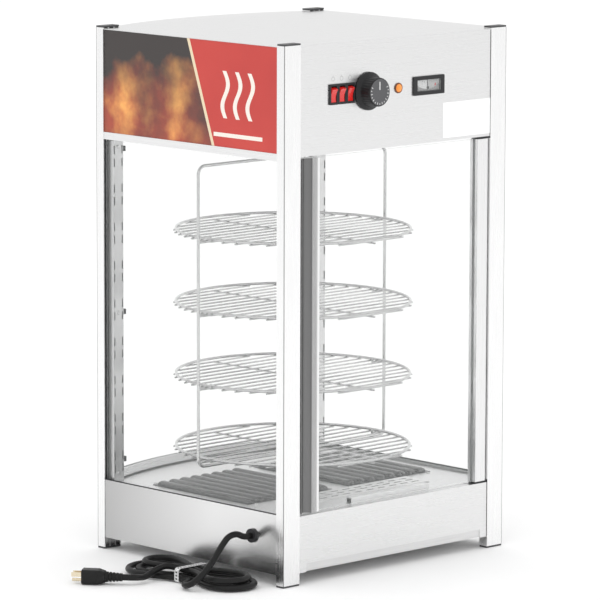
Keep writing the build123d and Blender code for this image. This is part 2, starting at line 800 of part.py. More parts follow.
# Thermometer: case with a recessed dial, and its pointer
dial_depth = 4.0
case_stand = 2.5
window_width = 50.0
window_height = 17.0
pointer_pivot = 2.2
pointer_z = control_height - window_height / 2 + 4.5
pointer_length = 11.0
with BuildPart() as thermometer:
    with BuildSketch(Plane.XZ.offset(-panel_y)):
        with Locations((thermometer_x, control_height)):
            RectangleRounded(thermometer_width, thermometer_height, 1.5)
    extrude(amount=-case_stand)
    with BuildSketch(Plane.XZ.offset(-panel_y)):
        with Locations((thermometer_x, control_height)):
            Rectangle(case_width, case_height)
    extrude(amount=18.0)
    with BuildSketch(Plane.XZ.offset(-(panel_y + case_stand))):
        with Locations((thermometer_x, control_height)):
            Rectangle(window_width, window_height)
    extrude(amount=dial_depth, mode=Mode.SUBTRACT)
    with BuildSketch(Plane.XZ.offset(-(panel_y + case_stand - dial_depth))):
        with Locations((thermometer_x, pointer_z)):
            Circle(1.0)
    extrude(amount=-1.6)
keep(thermometer, "thermometer_case")
with BuildPart() as pointer:
    with BuildSketch(Plane.XZ.offset(-(panel_y + case_stand - dial_depth + 0.5))):
        with Locations((thermometer_x, pointer_z)):
            Circle(pointer_pivot)
        with BuildLine():
            Polyline(
                (thermometer_x - 0.8, pointer_z),
                (thermometer_x + 0.8, pointer_z),
                (thermometer_x + 0.3, pointer_z + pointer_length),
                (thermometer_x - 0.3, pointer_z + pointer_length),
                close=True,
            )
        make_face()
        with Locations((thermometer_x, pointer_z)):
            Circle(1.05, mode=Mode.SUBTRACT)
    extrude(amount=-0.7)
keep(pointer, "thermometer_pointer")

# Header lamp: a holder on the ceiling with its bulb, and the supply terminal block
lamp_z = ceiling_z + pan_sheet
lamp_y = axis_y - 60.0
bulb_r = 30.0
bulb_z = lamp_z + 68.0
with BuildPart() as lamp:
    with BuildSketch(Plane.XZ):
        with BuildLine():
            Polyline((0, lamp_z), (18.0, lamp_z), (18.0, lamp_z + 4.0), (14.0, lamp_z + 6.0),
                     (14.0, lamp_z + 34.0), (0.8 * bulb_r, bulb_z - 0.6 * bulb_r))
            ThreePointArc((0.8 * bulb_r, bulb_z - 0.6 * bulb_r), (bulb_r, bulb_z), (0, bulb_z + bulb_r))
            Line((0, bulb_z + bulb_r), (0, lamp_z))
        make_face()
    revolve(axis=Axis.Z)
    lamp_blank = lamp.part
with BuildPart() as lamp_placed:
    add(lamp_blank.moved(Location((0, lamp_y, 0))))
keep(lamp_placed, "header_lamp")
with BuildPart() as terminal:
    with BuildSketch(Plane.XY.offset(lamp_z)):
        with Locations((-120.0, axis_y + 120.0)):
            Rectangle(64.0, 22.0)
    extrude(amount=9.0)
    with BuildSketch(Plane.XY.offset(lamp_z + 9.0)):
        with Locations((-120.0, axis_y + 120.0)):
            with GridLocations(12.0, 0, 5, 1):
                Rectangle(9.0, 22.0)
    extrude(amount=7.0)
keep(terminal, "terminal_block")

# Door: pivot plates on the case, two stiles and the glass
door_bottom = rear_base_top + pivot_plate + door_gap
door_top = panel_bottom - pivot_plate - door_gap
door_mid = rear_y - post_depth / 2
stile_r = post_depth / 2
hinge_x = -(inner_x - door_gap - stile_r)
hinge_inner = hinge_x - stile_r + hinge_stile
handle_outer = inner_x - door_side_gap
handle_inner = handle_outer - door_stile
door_groove = 6.0
door_groove_width = door_glass_thickness + 0.4
pin_height = 14.0
plate_set = 0.5
plate_depth = face_set + seat_flange - plate_set
with BuildPart() as pivots:
    for base, reach in ((rear_base_top, 1), (panel_bottom - pivot_plate, -1)):
        with BuildSketch(Plane.XY.offset(base)):
            with Locations(((hinge_inner - inner_x) / 2, rear_y - plate_set - plate_depth / 2)):
                Rectangle(hinge_inner + inner_x, plate_depth)
        extrude(amount=pivot_plate)
        start = base + pivot_plate if reach > 0 else base
        with BuildSketch(Plane.XY.offset(start)):
            with Locations((hinge_x, door_mid)):
                Circle(pivot_pin)
        extrude(amount=reach * pin_height)
keep(pivots, "door_pivots")

with BuildPart() as hinge_side:
    with BuildSketch(Plane.XY.offset(door_bottom)):
        with Locations((hinge_x, door_mid)):
            Circle(stile_r)
        with Locations(((hinge_x + hinge_inner) / 2, door_mid)):
            Rectangle(hinge_inner - hinge_x, post_depth)
        with Locations((hinge_inner - door_groove / 2, door_mid)):
            Rectangle(door_groove, door_groove_width, mode=Mode.SUBTRACT)
        with Locations((hinge_x, door_mid)):
            Circle(pivot_pin + 0.05, mode=Mode.SUBTRACT)
    extrude(amount=door_top - door_bottom)
keep(hinge_side, "door_hinge_stile")

pull_outer = handle_outer - 2.0
pull_inner = pull_outer - 19.0
pull_depth = 6.5
reed_pitch = 2.6
with BuildPart() as handle_side:
    with BuildSketch(Plane.XY.offset(door_bottom)):
        with Locations(((handle_outer + handle_inner) / 2, door_mid)):
            Rectangle(door_stile, post_depth)
        with BuildLine():
            ThreePointArc((pull_outer, rear_y), ((pull_outer + pull_inner) / 2, rear_y - pull_depth),
                          (pull_inner, rear_y))
            Line((pull_inner, rear_y), (pull_outer, rear_y))
        make_face(mode=Mode.SUBTRACT)
        with Locations(*[(pull_inner - 3.0 - reed_pitch * step, rear_y) for step in range(3)]):
            Rectangle(1.0, 1.6, mode=Mode.SUBTRACT)
        with Locations((handle_inner + door_groove / 2, door_mid)):
            Rectangle(door_groove, door_groove_width, mode=Mode.SUBTRACT)
    extrude(amount=door_top - door_bottom)
keep(handle_side, "door_handle_stile")

with BuildPart() as door_pane:
    with BuildSketch(Plane.XY.offset(door_bottom)):
        pane_left = hinge_inner - door_groove + 0.2
        pane_right = handle_inner + door_groove - 0.2
        with Locations(((pane_left + pane_right) / 2, door_mid)):
            Rectangle(pane_right - pane_left, door_glass_thickness)
    extrude(amount=door_top - door_bottom)
keep(door_pane, "door_glass")

# Screws that show: on the uprights and beside the heater covers
screw_r = 3.0
screw_head = 1.6
upright_screws = [deck_top + 14.0, (deck_top + header_bottom) / 2 - 2.0, header_bottom - 12.0]
screw_y = axis_y - flute_length / 2 - 9.0
with BuildPart() as screws:
    with BuildSketch(Plane.XZ.offset(-(inner_front + upright_depth))):
        for sx in (1, -1):
            with Locations(*[(sx * upright_x, height) for height in upright_screws]):
                Circle(screw_r)
    extrude(amount=-screw_head, taper=20)
    with BuildSketch(Plane.XY.offset(deck_top)):
        for sx in (1, -1):
            outer = flute_x[-1]
            for x, y in ((flute_x[0], screw_y), (outer, screw_y), (outer, 2 * axis_y - screw_y)):
                with Locations((sx * x, y)):
                    Circle(screw_r)
    extrude(amount=screw_head, taper=20)
keep(screws, "screws")

# Cord gland in the right base panel
gland_stand = 3.5
gland_face = shell_x + gland_stand
with BuildPart() as gland:
    with BuildSketch(Plane.YZ.offset(shell_x)):
        with Locations((cord_y, cord_height)):
            Circle(10.5)
    extrude(amount=gland_stand)
    with BuildSketch(Plane.YZ.offset(shell_x)):
        with Locations((cord_y, cord_height)):
            Circle(6.8)
    extrude(amount=-16.0)
keep(gland, "cord_gland")


def corner_radii(points, share=0.45):
    """Radius at each corner of a route: a share of the shorter run over the tangent of half the turn."""
    radii = []
    for before, corner, after in zip(points, points[1:], points[2:]):
        into = Vector(*corner) - Vector(*before)
        out = Vector(*after) - Vector(*corner)
        turn = radians(into.get_angle(out))
        radii.append(share * min(into.length, out.length) / tan(turn / 2))
    return radii


def cord_tube(name, points):
    """A round tube along straight runs joined by tangent arcs; prints its length and radii."""
    radii = corner_radii(points)
    with BuildPart() as tube:
        with BuildLine() as route:
            FilletPolyline(*points, radius=radii)
        with BuildSketch(Plane(origin=points[0], z_dir=route.line % 0)):
            Circle(cord_diameter / 2)
        sweep()
    length = sum(edge.length for edge in route.edges())
    section = pi * cord_diameter ** 2 / 4
    print(name, "length", round(length, 1), "volume ratio", round(tube.part.volume / (section * length), 4),
          "radii", [round(radius, 1) for radius in radii])
    return tube


# The cord's bundle: three loops drawn in at the waist, two turns below and one above
cord_r = cord_diameter / 2
layer_1 = cord_r + tie_sheet + 0.4
layer_2 = layer_1 + cord_diameter + 0.8
near_runs = [bundle_first, 33.0, 33.0 - bundle_step, 33.0]
far_runs = [33.0 + bundle_step / 2, 33.0 - bundle_step / 2, 33.0 - bundle_step / 2]
run_layers = [layer_1, layer_1, layer_2]


def at_bundle(x, y, z):
    """A point given from the middle of the bundle, as a point of the case."""
    return Vector(bundle_x + x, bundle_y + mid_y + y, z)


def s_run(start, end):
    """Two equal arcs that leave and arrive along Y, bending aside between two points."""
    middle = (start + end) / 2
    heading = Vector(0, 1 if end.Y > start.Y else -1, 0)
    for first, last in ((start, middle), (middle, end)):
        chord = last - first
        bend = radians(chord.get_angle(heading))
        aside = heading - chord.normalized() * heading.dot(chord.normalized())
        rise = aside.normalized() * (chord.length / 2 * tan(bend / 2))
        sign = 1 if first == start else -1
        ThreePointArc(first, first + chord / 2 + rise * sign, last)


with BuildPart() as bundle:
    with BuildLine() as turns:
        first = at_bundle(near_runs[0] - bundle_draw, cord_diameter, layer_1)
        waist = at_bundle(near_runs[0] - bundle_draw, 0, layer_1)
        Line(first, waist)
        for turn in range(3):
            z = run_layers[turn]
            next_z = run_layers[min(turn + 1, 2)]
            near, far, after = near_runs[turn], far_runs[turn], near_runs[turn + 1]
            low_near = at_bundle(near, -bundle_half, z)
            low_far = at_bundle(-far, -bundle_half, z)
            s_run(at_bundle(near - bundle_draw, 0, z), low_near)
            ThreePointArc(low_near, at_bundle((near - far) / 2, -bundle_half - (near + far) / 2, z), low_far)
            s_run(low_far, at_bundle(bundle_draw - far, 0, z))
            high_far = at_bundle(-far, bundle_half, z)
            high_near = at_bundle(after, bundle_half, z)
            s_run(at_bundle(bundle_draw - far, 0, z), high_far)
            ThreePointArc(high_far, at_bundle((after - far) / 2, bundle_half + (after + far) / 2, z), high_near)
            s_run(high_near, at_bundle(after - bundle_draw, 0, next_z))
        last_waist = at_bundle(near_runs[3] - bundle_draw, 0, layer_2)
        last = at_bundle(near_runs[3] - bundle_draw, -cord_diameter, layer_2)
        Line(last_waist, last)
    with BuildSketch(Plane(origin=first, z_dir=(0, -1, 0))):
        Circle(cord_r)
    sweep()
keep(bundle, "cord_bundle")

samples = []
walked = 0.0
for edge in turns.edges():
    for step in range(12):
        samples.append((walked + edge.length * step / 12, edge @ (step / 12)))
    walked += edge.length
least = min(
    (p - q).length
    for i, (a, p) in enumerate(samples)
    for b, q in samples[i + 1:]
    if b - a > 4 * cord_diameter
)
print("bundle length", round(walked, 1), "least gap to itself", round(least - cord_diameter, 2),
      "volume ratio", round(bundle.part.volume / (pi * cord_r ** 2 * walked), 4))

# The lead from the gland down to the bundle, over its loops
lead_points = [
    (gland_face, cord_y, cord_height),
    (gland_face + 14.0, cord_y, cord_height),
    (263.0, cord_y - 1.0, 77.0),
    (277.0, cord_y - 4.0, 74.0),
    (291.0, cord_y - 4.0, 61.0),
    (305.0, cord_y - 1.0, 49.0),
    (320.0, cord_y + 2.0, 37.0),
    (335.0, cord_y + 1.0, 24.0),
    (346.0, cord_y - 8.0, 12.0),
    (347.0, cord_y - 22.0, layer_1 + 1.0),
    (337.0, cord_y - 35.5, layer_1),
    (first.X, first.Y + 15.0, layer_1),
    (first.X, first.Y, layer_1),
]
lead = cord_tube("lead", lead_points)
keep(lead, "cord_lead")

# The tail from the bundle to the plug
plug_turn = -53.0
plug_axis = Vector(cos(radians(plug_turn)), sin(radians(plug_turn)), 0)
plug_height = 22.0
tail_end = Vector(388.0, 24.0 + mid_y, plug_height / 2 + touch)
tail_points = [
    (last.X, last.Y, layer_2),
    (last.X, last.Y - 8.0, layer_2),
    (last.X + 12.5, last.Y - 20.5, layer_2 + 5.0),
    (last.X + 33.0, last.Y - 26.0, layer_2),
    (last.X + 53.0, last.Y - 24.0, 8.0),
    (tail_end.X - 16.0 * plug_axis.X, tail_end.Y - 16.0 * plug_axis.Y, tail_end.Z),
    (tail_end.X, tail_end.Y, tail_end.Z),
]
tail = cord_tube("tail", tail_points)
keep(tail, "cord_tail")

# The tie round the waist of the bundle
tie_left = bundle_draw - far_runs[0] - cord_r - 0.3
tie_right = near_runs[0] - bundle_draw + cord_r + 0.3
tie_top = layer_2 + cord_r + 0.3
with BuildPart() as tie:
    with BuildSketch(Plane.XZ.offset(-(bundle_y + mid_y + tie_width / 2))):
        tie_mid = (bundle_x + (tie_left + tie_right) / 2, (tie_top + tie_sheet) / 2)
        with Locations(tie_mid):
            RectangleRounded(tie_right - tie_left + 2 * tie_sheet, tie_top + tie_sheet, 6.0)
            RectangleRounded(tie_right - tie_left, tie_top - tie_sheet, 5.0, mode=Mode.SUBTRACT)
    extrude(amount=tie_width)
keep(tie, "cord_tie")

# Plug: ribbed strain relief and moulded body, with two blades and an earth pin
plug_plane = Plane(origin=tail_end, x_dir=(plug_axis.Y, -plug_axis.X, 0), z_dir=plug_axis)
relief_length = 26.0
body_length = 34.0
relief_slots = 4
with BuildPart() as plug:
    with BuildSketch(plug_plane):
        Circle(cord_r + 1.2)
    with BuildSketch(plug_plane.offset(relief_length)):
        Circle(cord_r + 3.4)
    loft()
    for index in range(relief_slots):
        with BuildSketch(plug_plane.offset(4.0 + index * 5.0)):
            Circle(cord_r + 6.0)
            Circle(cord_r + 0.9, mode=Mode.SUBTRACT)
        extrude(amount=2.0, mode=Mode.SUBTRACT)
    with BuildSketch(plug_plane.offset(relief_length)):
        RectangleRounded(20.0, 17.0, 6.0)
    with BuildSketch(plug_plane.offset(relief_length + 10.0)):
        RectangleRounded(26.0, plug_height, 6.0)
    loft()
    with BuildSketch(plug_plane.offset(relief_length + 10.0)):
        RectangleRounded(26.0, plug_height, 6.0)
    extrude(amount=body_length - 10.0)
keep(plug, "plug_body")

with BuildPart() as blades:
    with BuildSketch(plug_plane.offset(relief_length + body_length)):
        with Locations((-6.35, -3.0), (6.35, -3.0)):
            Rectangle(1.6, 6.35)
        with Locations((0, 6.0)):
            Circle(2.4)
    extrude(amount=16.0)
keep(blades, "plug_blades")
print("cord length", round(walked + lead.part.volume / (pi * cord_r ** 2) + tail.part.volume / (pi * cord_r ** 2)))
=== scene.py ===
"""Looks of a rotating hot food display case, built over its CAD frame.

Pieces are given in millimetres and made in metres.
"""

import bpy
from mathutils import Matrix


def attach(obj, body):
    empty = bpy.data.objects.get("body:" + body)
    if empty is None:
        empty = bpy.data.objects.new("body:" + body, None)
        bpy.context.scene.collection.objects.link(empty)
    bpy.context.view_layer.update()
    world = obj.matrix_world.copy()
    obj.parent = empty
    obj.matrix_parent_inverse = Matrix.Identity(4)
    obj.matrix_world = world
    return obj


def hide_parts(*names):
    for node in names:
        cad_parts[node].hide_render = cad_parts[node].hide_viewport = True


bl_info = {
    "name": "Rotating display case",
    "version": (1, 0, 0),
    "blender": (4, 5, 0),
    "location": "View3D > Sidebar > Display case",
    "description": "Builds the looks of a rotating hot food display case over its CAD frame",
    "category": "Object",
}

from math import cos, pi, radians, sin, sqrt, tan

import bmesh
import bpy
import numpy as np
from mathutils import Matrix, Vector

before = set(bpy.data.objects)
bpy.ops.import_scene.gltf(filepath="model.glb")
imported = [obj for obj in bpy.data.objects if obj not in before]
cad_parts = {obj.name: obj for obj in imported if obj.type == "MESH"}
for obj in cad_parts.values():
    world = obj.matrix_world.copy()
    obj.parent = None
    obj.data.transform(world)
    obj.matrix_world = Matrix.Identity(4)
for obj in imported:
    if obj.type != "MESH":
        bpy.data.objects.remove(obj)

MM = 0.001

# Places on the case, in millimetres
PANEL_Y = 213.0
CONTROL_Z = 726.3
AXIS_Y = -10.0
MIDDLE_Y = 7.0
DECK_Z = 104.0
KNOB_X = 61.0
LAMP_X = -2.0
DIAL_X = -65.5
ROCKER_XS = (133.4, 116.1, 98.8)
SIGN_Z = 722.0
BUNDLE_X = 286.0
BUNDLE_Y = 77.0

# Range that holds most of a noise texture's values
NOISE_LOW = 0.3
NOISE_HIGH = 0.7


class Shade:
    """A number or colour inside one material, with arithmetic that adds the nodes for it."""

    def __init__(self, tree, socket):
        self.tree = tree
        self.socket = socket

    def node(self, kind, *values, **settings):
        """A new node of a kind, with settings and with values put into its inputs in order."""
        made = self.tree.nodes.new(kind)
        for key, value in settings.items():
            setattr(made, key, value)
        for place, value in enumerate(values):
            self.put(made.inputs[place], value)
        return made

    def put(self, socket, value):
        """A value into a socket: by a link if it is a Shade, or as a constant."""
        if isinstance(value, Shade):
            self.tree.links.new(value.socket, socket)
        elif value is not None:
            socket.default_value = value

    def out(self, made, key=0):
        """An output of a node, by its name or its place."""
        return Shade(self.tree, made.outputs[key])

    def math(self, operation, *values):
        return self.out(self.node("ShaderNodeMath", *values, operation=operation))

    def __add__(self, other):
        return self.math("ADD", self, other)

    def __sub__(self, other):
        return self.math("SUBTRACT", self, other)

    def __rsub__(self, other):
        return self.math("SUBTRACT", other, self)

    def __mul__(self, other):
        return self.math("MULTIPLY", self, other)

    def __gt__(self, other):
        return self.math("GREATER_THAN", self, other)

    def __lt__(self, other):
        return self.math("LESS_THAN", self, other)

    def __abs__(self):
        return self.math("ABSOLUTE", self)

    def sine(self):
        return self.math("SINE", self)

    def ramp(self, low, high, start=0.0, end=1.0):
        """Goes from start to end as this value goes from low to high, and stays there."""
        return self.out(self.node("ShaderNodeMapRange", self, low, high, start, end))

    def even(self, start=0.0, end=1.0):
        """Stretches the middle of a noise to the range from start to end."""
        return self.ramp(NOISE_LOW, NOISE_HIGH, start, end)

    def between(self, low, high):
        """1 where this value lies between low and high, and 0 elsewhere."""
        return (self > low) * (self < high)

    def blend(self, first, second):
        """The colour first where this value is 0, and second where it is 1."""
        made = self.node("ShaderNodeMix", data_type="RGBA")
        self.put(made.inputs[0], self)
        self.put(made.inputs[6], first)
        self.put(made.inputs[7], second)
        return self.out(made, 2)


class Surface(Shade):
    """One material: its coordinates, its textures and its Principled BSDF."""

    def __init__(self, name):
        self.material = bpy.data.materials.new(name)
        self.material.use_nodes = True
        super().__init__(self.material.node_tree, None)
        self.bsdf = self.tree.nodes["Principled BSDF"]
        self.place = self.tree.nodes.new("ShaderNodeTexCoord")
        self.x, self.y, self.z = self.split("Object")
        self.normal = self.split("Normal")

    def split(self, key):
        """The three parts of one of the coordinates."""
        made = self.node("ShaderNodeSeparateXYZ", self.out(self.place, key))
        return [self.out(made, axis) for axis in range(3)]

    def noise(self, scale, stretch=(1.0, 1.0, 1.0), detail=3.0):
        """Noise on object coordinates, drawn out along an axis where its stretch is small."""
        grain = self.node("ShaderNodeVectorMath", operation="MULTIPLY")
        self.put(grain.inputs[0], self.out(self.place, "Object"))
        grain.inputs[1].default_value = stretch
        made = self.tree.nodes.new("ShaderNodeTexNoise")
        self.put(made.inputs["Vector"], self.out(grain))
        made.inputs["Scale"].default_value = scale
        made.inputs["Detail"].default_value = detail
        return self.out(made, "Fac")

    def set(self, **values):
        """Puts values into the inputs of the Principled BSDF; _ in a key stands for a space."""
        for key, value in values.items():
            self.put(self.bsdf.inputs[key.replace("_", " ")], value)
        return self

    def bump(self, height, strength=0.2, distance=0.0004):
        """Relief of the surface from a height of 0 to 1 over a distance in metres."""
        made = self.tree.nodes.new("ShaderNodeBump")
        made.inputs["Strength"].default_value = strength
        made.inputs["Distance"].default_value = distance
        self.put(made.inputs["Height"], height)
        self.put(self.bsdf.inputs["Normal"], self.out(made))
        return self


def grey(level):
    """A grey of one level."""
    return (level, level, level, 1.0)


def metal(name, level, rough, stretch, tint=(1.0, 1.0, 1.0), scale=14.0, relief=0.12, spread=0.05):
    """Drawn or brushed metal: long streaks of a slightly varying tone and roughness."""
    made = Surface(name)
    streak = made.noise(scale, stretch)
    low = tuple(level * (1 - spread) * part for part in tint) + (1.0,)
    high = tuple(min(1.0, level * (1 + spread)) * part for part in tint) + (1.0,)
    made.set(Base_Color=streak.even().blend(low, high), Metallic=1.0,
             Roughness=streak.even(rough * 0.8, rough * 1.25))
    return made.bump(streak, relief, 0.0002).material


def plastic(name, color, rough, coat=0.0, grain=900.0, glow=0.0, shine=0.5):
    """Moulded plastic or rubber with a fine grain."""
    made = Surface(name)
    speck = made.noise(grain)
    light = tuple(min(1.0, part * 1.12 + 0.002) for part in color[:3]) + (1.0,)
    made.set(Base_Color=speck.even().blend(color, light), Coat_Weight=coat, Specular_IOR_Level=shine,
             Roughness=speck.even(rough * 0.88, rough * 1.1))
    # glow gives the part light of its own: a painted glow on the red rockers, and the light of the pilot
    # lamp's lens
    if glow:
        made.set(Emission_Color=color, Emission_Strength=glow)
    return made.bump(speck, 0.08, 0.0002).material


def pane_glass(name, across):
    """Clear glass in thin sheets: its faces are nearly clear, and its ground edges show."""
    made = Surface(name)
    face = abs(made.normal[across]) > 0.6 if across is not None else abs(made.normal[2]) < 0.5
    haze = made.noise(3.0).even(0.045, 0.06)
    made.set(Base_Color=(0.93, 0.965, 0.955, 1.0), Roughness=made.noise(40.0).even(0.02, 0.05),
             Alpha=face * haze + (1.0 - face) * 0.45, IOR=1.5)
    return made.material


# Printed sign, in metres along X or Y and up from SIGN_Z
FIELD_LEAN = 0.35
FIELD_START = 0.035
FIELD_BORDER = 0.006
WAVE_PLACES = (0.085, 0.112, 0.139)
WAVE_TURNS = 95.0
WAVE_SWING = 0.006
WAVE_HALF = 0.0042
CREAM = (0.88, 0.82, 0.74, 1.0)


def sign_art(name, across):
    """Printed sheet: glowing embers over dark brown, and a red field with three heat waves."""
    made = Surface(name)
    run = made.y if across == "Y" else made.x
    if name.endswith("left"):
        run = 0.0 - run
    high = made.z - SIGN_Z * MM
    warp = made.noise(9.0, detail=5.0)
    ember = (made.noise(26.0, detail=6.0) * warp).ramp(0.2, 0.42)
    glow = (warp + high * -2.6).ramp(0.42, 0.75)
    dark = (0.026, 0.018, 0.016, 1.0)
    warm = ember.blend((0.45, 0.06, 0.022, 1.0), (0.93, 0.42, 0.10, 1.0))
    ground = glow.blend(dark, warm)
    slant = run + high * FIELD_LEAN
    field = slant > FIELD_START
    tone = made.noise(5.0).even()
    red = tone.blend((0.50, 0.022, 0.016, 1.0), (0.62, 0.045, 0.030, 1.0))
    art = field.blend(ground, red)
    edge = slant.between(FIELD_START - FIELD_BORDER, FIELD_START)
    art = edge.blend(art, (0.80, 0.66, 0.45, 1.0))
    for place in WAVE_PLACES:
        wave = abs(run - place - (high * WAVE_TURNS).sine() * WAVE_SWING) < WAVE_HALF
        art = (wave * high.between(-0.034, 0.036)).blend(art, CREAM)
    foot = high.between(-0.062, -0.056) * run.between(0.060, 0.165)
    art = foot.blend(art, CREAM)
    made.set(Base_Color=art, Roughness=tone.ramp(0.0, 1.0, 0.28, 0.36), Coat_Weight=0.3)
    return made.bump(made.noise(300.0), 0.03, 0.0002).material


def palette():
    """Every material by its name."""
    return {
        "post": post_metal(),
        "side": side_metal(),
        "rail": metal("satin_rail", 0.84, 0.3, (0.02, 0.02, 1.0), scale=500.0),
        "panel": metal("brushed_panel", 0.78, 0.3, (0.012, 0.012, 1.0), scale=900.0, relief=0.015,
                       spread=0.012),
        "deck": metal("brushed_deck", 0.80, 0.34, (0.012, 1.0, 1.0), scale=900.0),
        "roof": metal("brushed_roof", 0.77, 0.32, (0.012, 1.0, 1.0), scale=900.0, relief=0.02, spread=0.015),
        "upright": metal("slotted_strip", 0.70, 0.36, (1.0, 1.0, 0.02), scale=500.0),
        "pan": metal("pan_sheet", 0.72, 0.35, (0.03, 1.0, 1.0), scale=400.0),
        "wire": metal("bright_wire", 0.60, 0.16, (1.0, 1.0, 1.0), scale=60.0, relief=0.05),
        "cover": metal("dark_cover", 0.17, 0.3, (1.0, 0.02, 1.0), scale=300.0),
        "screw": metal("screw_head", 0.66, 0.3, (1.0, 1.0, 1.0), scale=500.0),
        "blade": metal("plated_blade", 0.78, 0.22, (1.0, 1.0, 1.0), (1.0, 0.88, 0.66), scale=200.0),
        "motor": metal("motor_housing", 0.42, 0.5, (1.0, 1.0, 1.0), scale=90.0),
        "stile": metal("satin_stile", 0.82, 0.3, (1.0, 1.0, 0.02), scale=500.0),
        "pull": pull_metal(),
        "black": plastic("moulded_black", (0.022, 0.022, 0.024, 1.0), 0.42, shine=0.3),
        "cap": plastic("end_cap", (0.05, 0.05, 0.052, 1.0), 0.5),
        "knob": plastic("knob_black", (0.012, 0.012, 0.013, 1.0), 0.38, grain=500.0, shine=0.3),
        "face": plastic("knob_face", (0.075, 0.075, 0.08, 1.0), 0.42, grain=500.0),
        "mark": plastic("white_mark", (0.80, 0.80, 0.80, 1.0), 0.5),
        "faint": plastic("faint_mark", (0.42, 0.42, 0.42, 1.0), 0.5),
        # painted glow: the red rockers are given a faint light of their own
        "red": plastic("rocker_red", (0.60, 0.014, 0.012, 1.0), 0.22, 0.5, glow=0.12),
        "amber": plastic("lens_amber", (0.86, 0.27, 0.03, 1.0), 0.16, 0.6, glow=0.18),
        "rim": plastic("amber_rim", (0.16, 0.045, 0.008, 1.0), 0.3, 0.3),
        "cord": plastic("cord_jacket", (0.006, 0.006, 0.006, 1.0), 0.42, grain=1500.0, shine=0.28),
        "label": plastic("blank_label", (0.93, 0.93, 0.93, 1.0), 0.45),
        "pointer": plastic("pointer_dark", (0.06, 0.06, 0.06, 1.0), 0.4),
        "bulb": plastic("frosted_bulb", (0.9, 0.89, 0.86, 1.0), 0.3),
        "strap": strap(),
        "dial": dial_print(),
        "window": pane_glass("dial_window", 1),
        "glass_x": pane_glass("side_glass", 0),
        "glass_y": pane_glass("door_glass_clear", 1),
        "glass_bow": pane_glass("bowed_glass", None),
        "sign_right": sign_art("sign_art_right", "Y"),
        "sign_left": sign_art("sign_art_left", "Y"),
        "sign_front": sign_art("sign_art_front", "X"),
    }


# Half width and half depth at which the painted shade line on a post's outer arris starts, in metres
ARRIS_X = 0.2321
ARRIS_Y = 0.2061


def post_metal():
    """Satin extrusion with fine lengthwise streaks and a painted shade line on its outer arris."""
    made = Surface("satin_post")
    streak = made.noise(500.0, (1.0, 1.0, 0.02))
    # painted shade: the outer arris of each post is painted dark grey
    painted_arris_shade = (abs(made.x) > ARRIS_X) * (abs(made.y - MIDDLE_Y * MM) > ARRIS_Y)
    tone = streak.even().blend(grey(0.86), grey(0.93))
    made.set(Base_Color=painted_arris_shade.blend(tone, grey(0.25)), Metallic=1.0,
             Roughness=streak.even(0.2, 0.3))
    return made.bump(streak, 0.05, 0.0002).material


def side_metal():
    """Brushed side panel with a painted reflection that darkens it towards the customer's side, with fine
    upright streaks.
    """
    made = Surface("brushed_side")
    streak = made.noise(900.0, (1.0, 1.0, 0.03))
    # painted reflection: the colour darkens towards -Y
    painted_reflection = made.y.ramp(-0.20, 0.06)
    low, high = painted_reflection.blend(grey(0.44), grey(0.77)), painted_reflection.blend(grey(0.46), grey(0.79))
    made.set(Base_Color=streak.even().blend(low, high), Metallic=1.0,
             Roughness=streak.even(0.23, 0.27))
    return made.bump(streak, 0.006, 0.0001).material


def pull_metal():
    """Satin stile with a painted dark reflection along X at its reeds and finger pull, on faces turned to
    the rear.
    """
    made = Surface("finger_pull")
    streak = made.noise(500.0, (1.0, 1.0, 0.02))
    # painted dark reflection: the reeds and the finger pull are painted darker on faces turned to the rear
    tone = made.x.ramp(0.1745, 0.1765).blend(grey(0.50), grey(0.19))
    rim = made.x.ramp(0.1645, 0.1655)
    rear = made.normal[1] > 0.2
    made.set(Base_Color=(rim * rear).blend(grey(0.86), tone), Metallic=1.0,
             Roughness=streak.even(0.26, 0.38))
    return made.bump(streak, 0.12, 0.0002).material


# Radians per metre that set a spacing of about 5 mm
HOLE_TURNS = 1250.0


def strap():
    """Silver plastic strap with a row of small holes, along X on its flat sides and along Z elsewhere; the
    holes are painted near black for the black cord and the shade seen through them.
    """
    made = Surface("perforated_strap")
    hole = abs(made.y - BUNDLE_Y * MM) < 0.0018
    flat = abs(made.normal[2]) > 0.5
    row = flat.ramp(0.0, 1.0, made.z, made.x)
    # painted holes: near black for the black cord and the painted shade seen through them
    hole_cord_and_shade = hole * ((row * HOLE_TURNS).sine() > 0.1)
    tone = made.noise(200.0).even()
    made.set(Base_Color=hole_cord_and_shade.blend(tone.blend(grey(0.6), grey(0.78)), grey(0.02)), Metallic=0.25,
             Roughness=tone.ramp(0.0, 1.0, 0.22, 0.34))
    return made.material


def dial_print():
    """Card of the thermometer: a pale field at the side of low figures, darker beyond, and ticks."""
    made = Surface("dial_card")
    run = made.x - DIAL_X * MM
    high = made.z - CONTROL_Z * MM
    bow = high - run * run * 14.0
    field = (run > -0.003).blend(grey(0.42), grey(0.62))
    tick = ((run * HOLE_TURNS).sine() > 0.72) * bow.between(0.0030, 0.0052)
    ink = grey(0.30)
    sill = (bow < -0.0062).blend(tick.blend(field, ink), ink)
    spot = run.between(-0.0175, -0.0150) * high.between(-0.002, 0.002)
    made.set(Base_Color=spot.blend(sill, (0.55, 0.03, 0.03, 1.0)),
             Roughness=made.noise(300.0).even(0.4, 0.5))
    return made.material


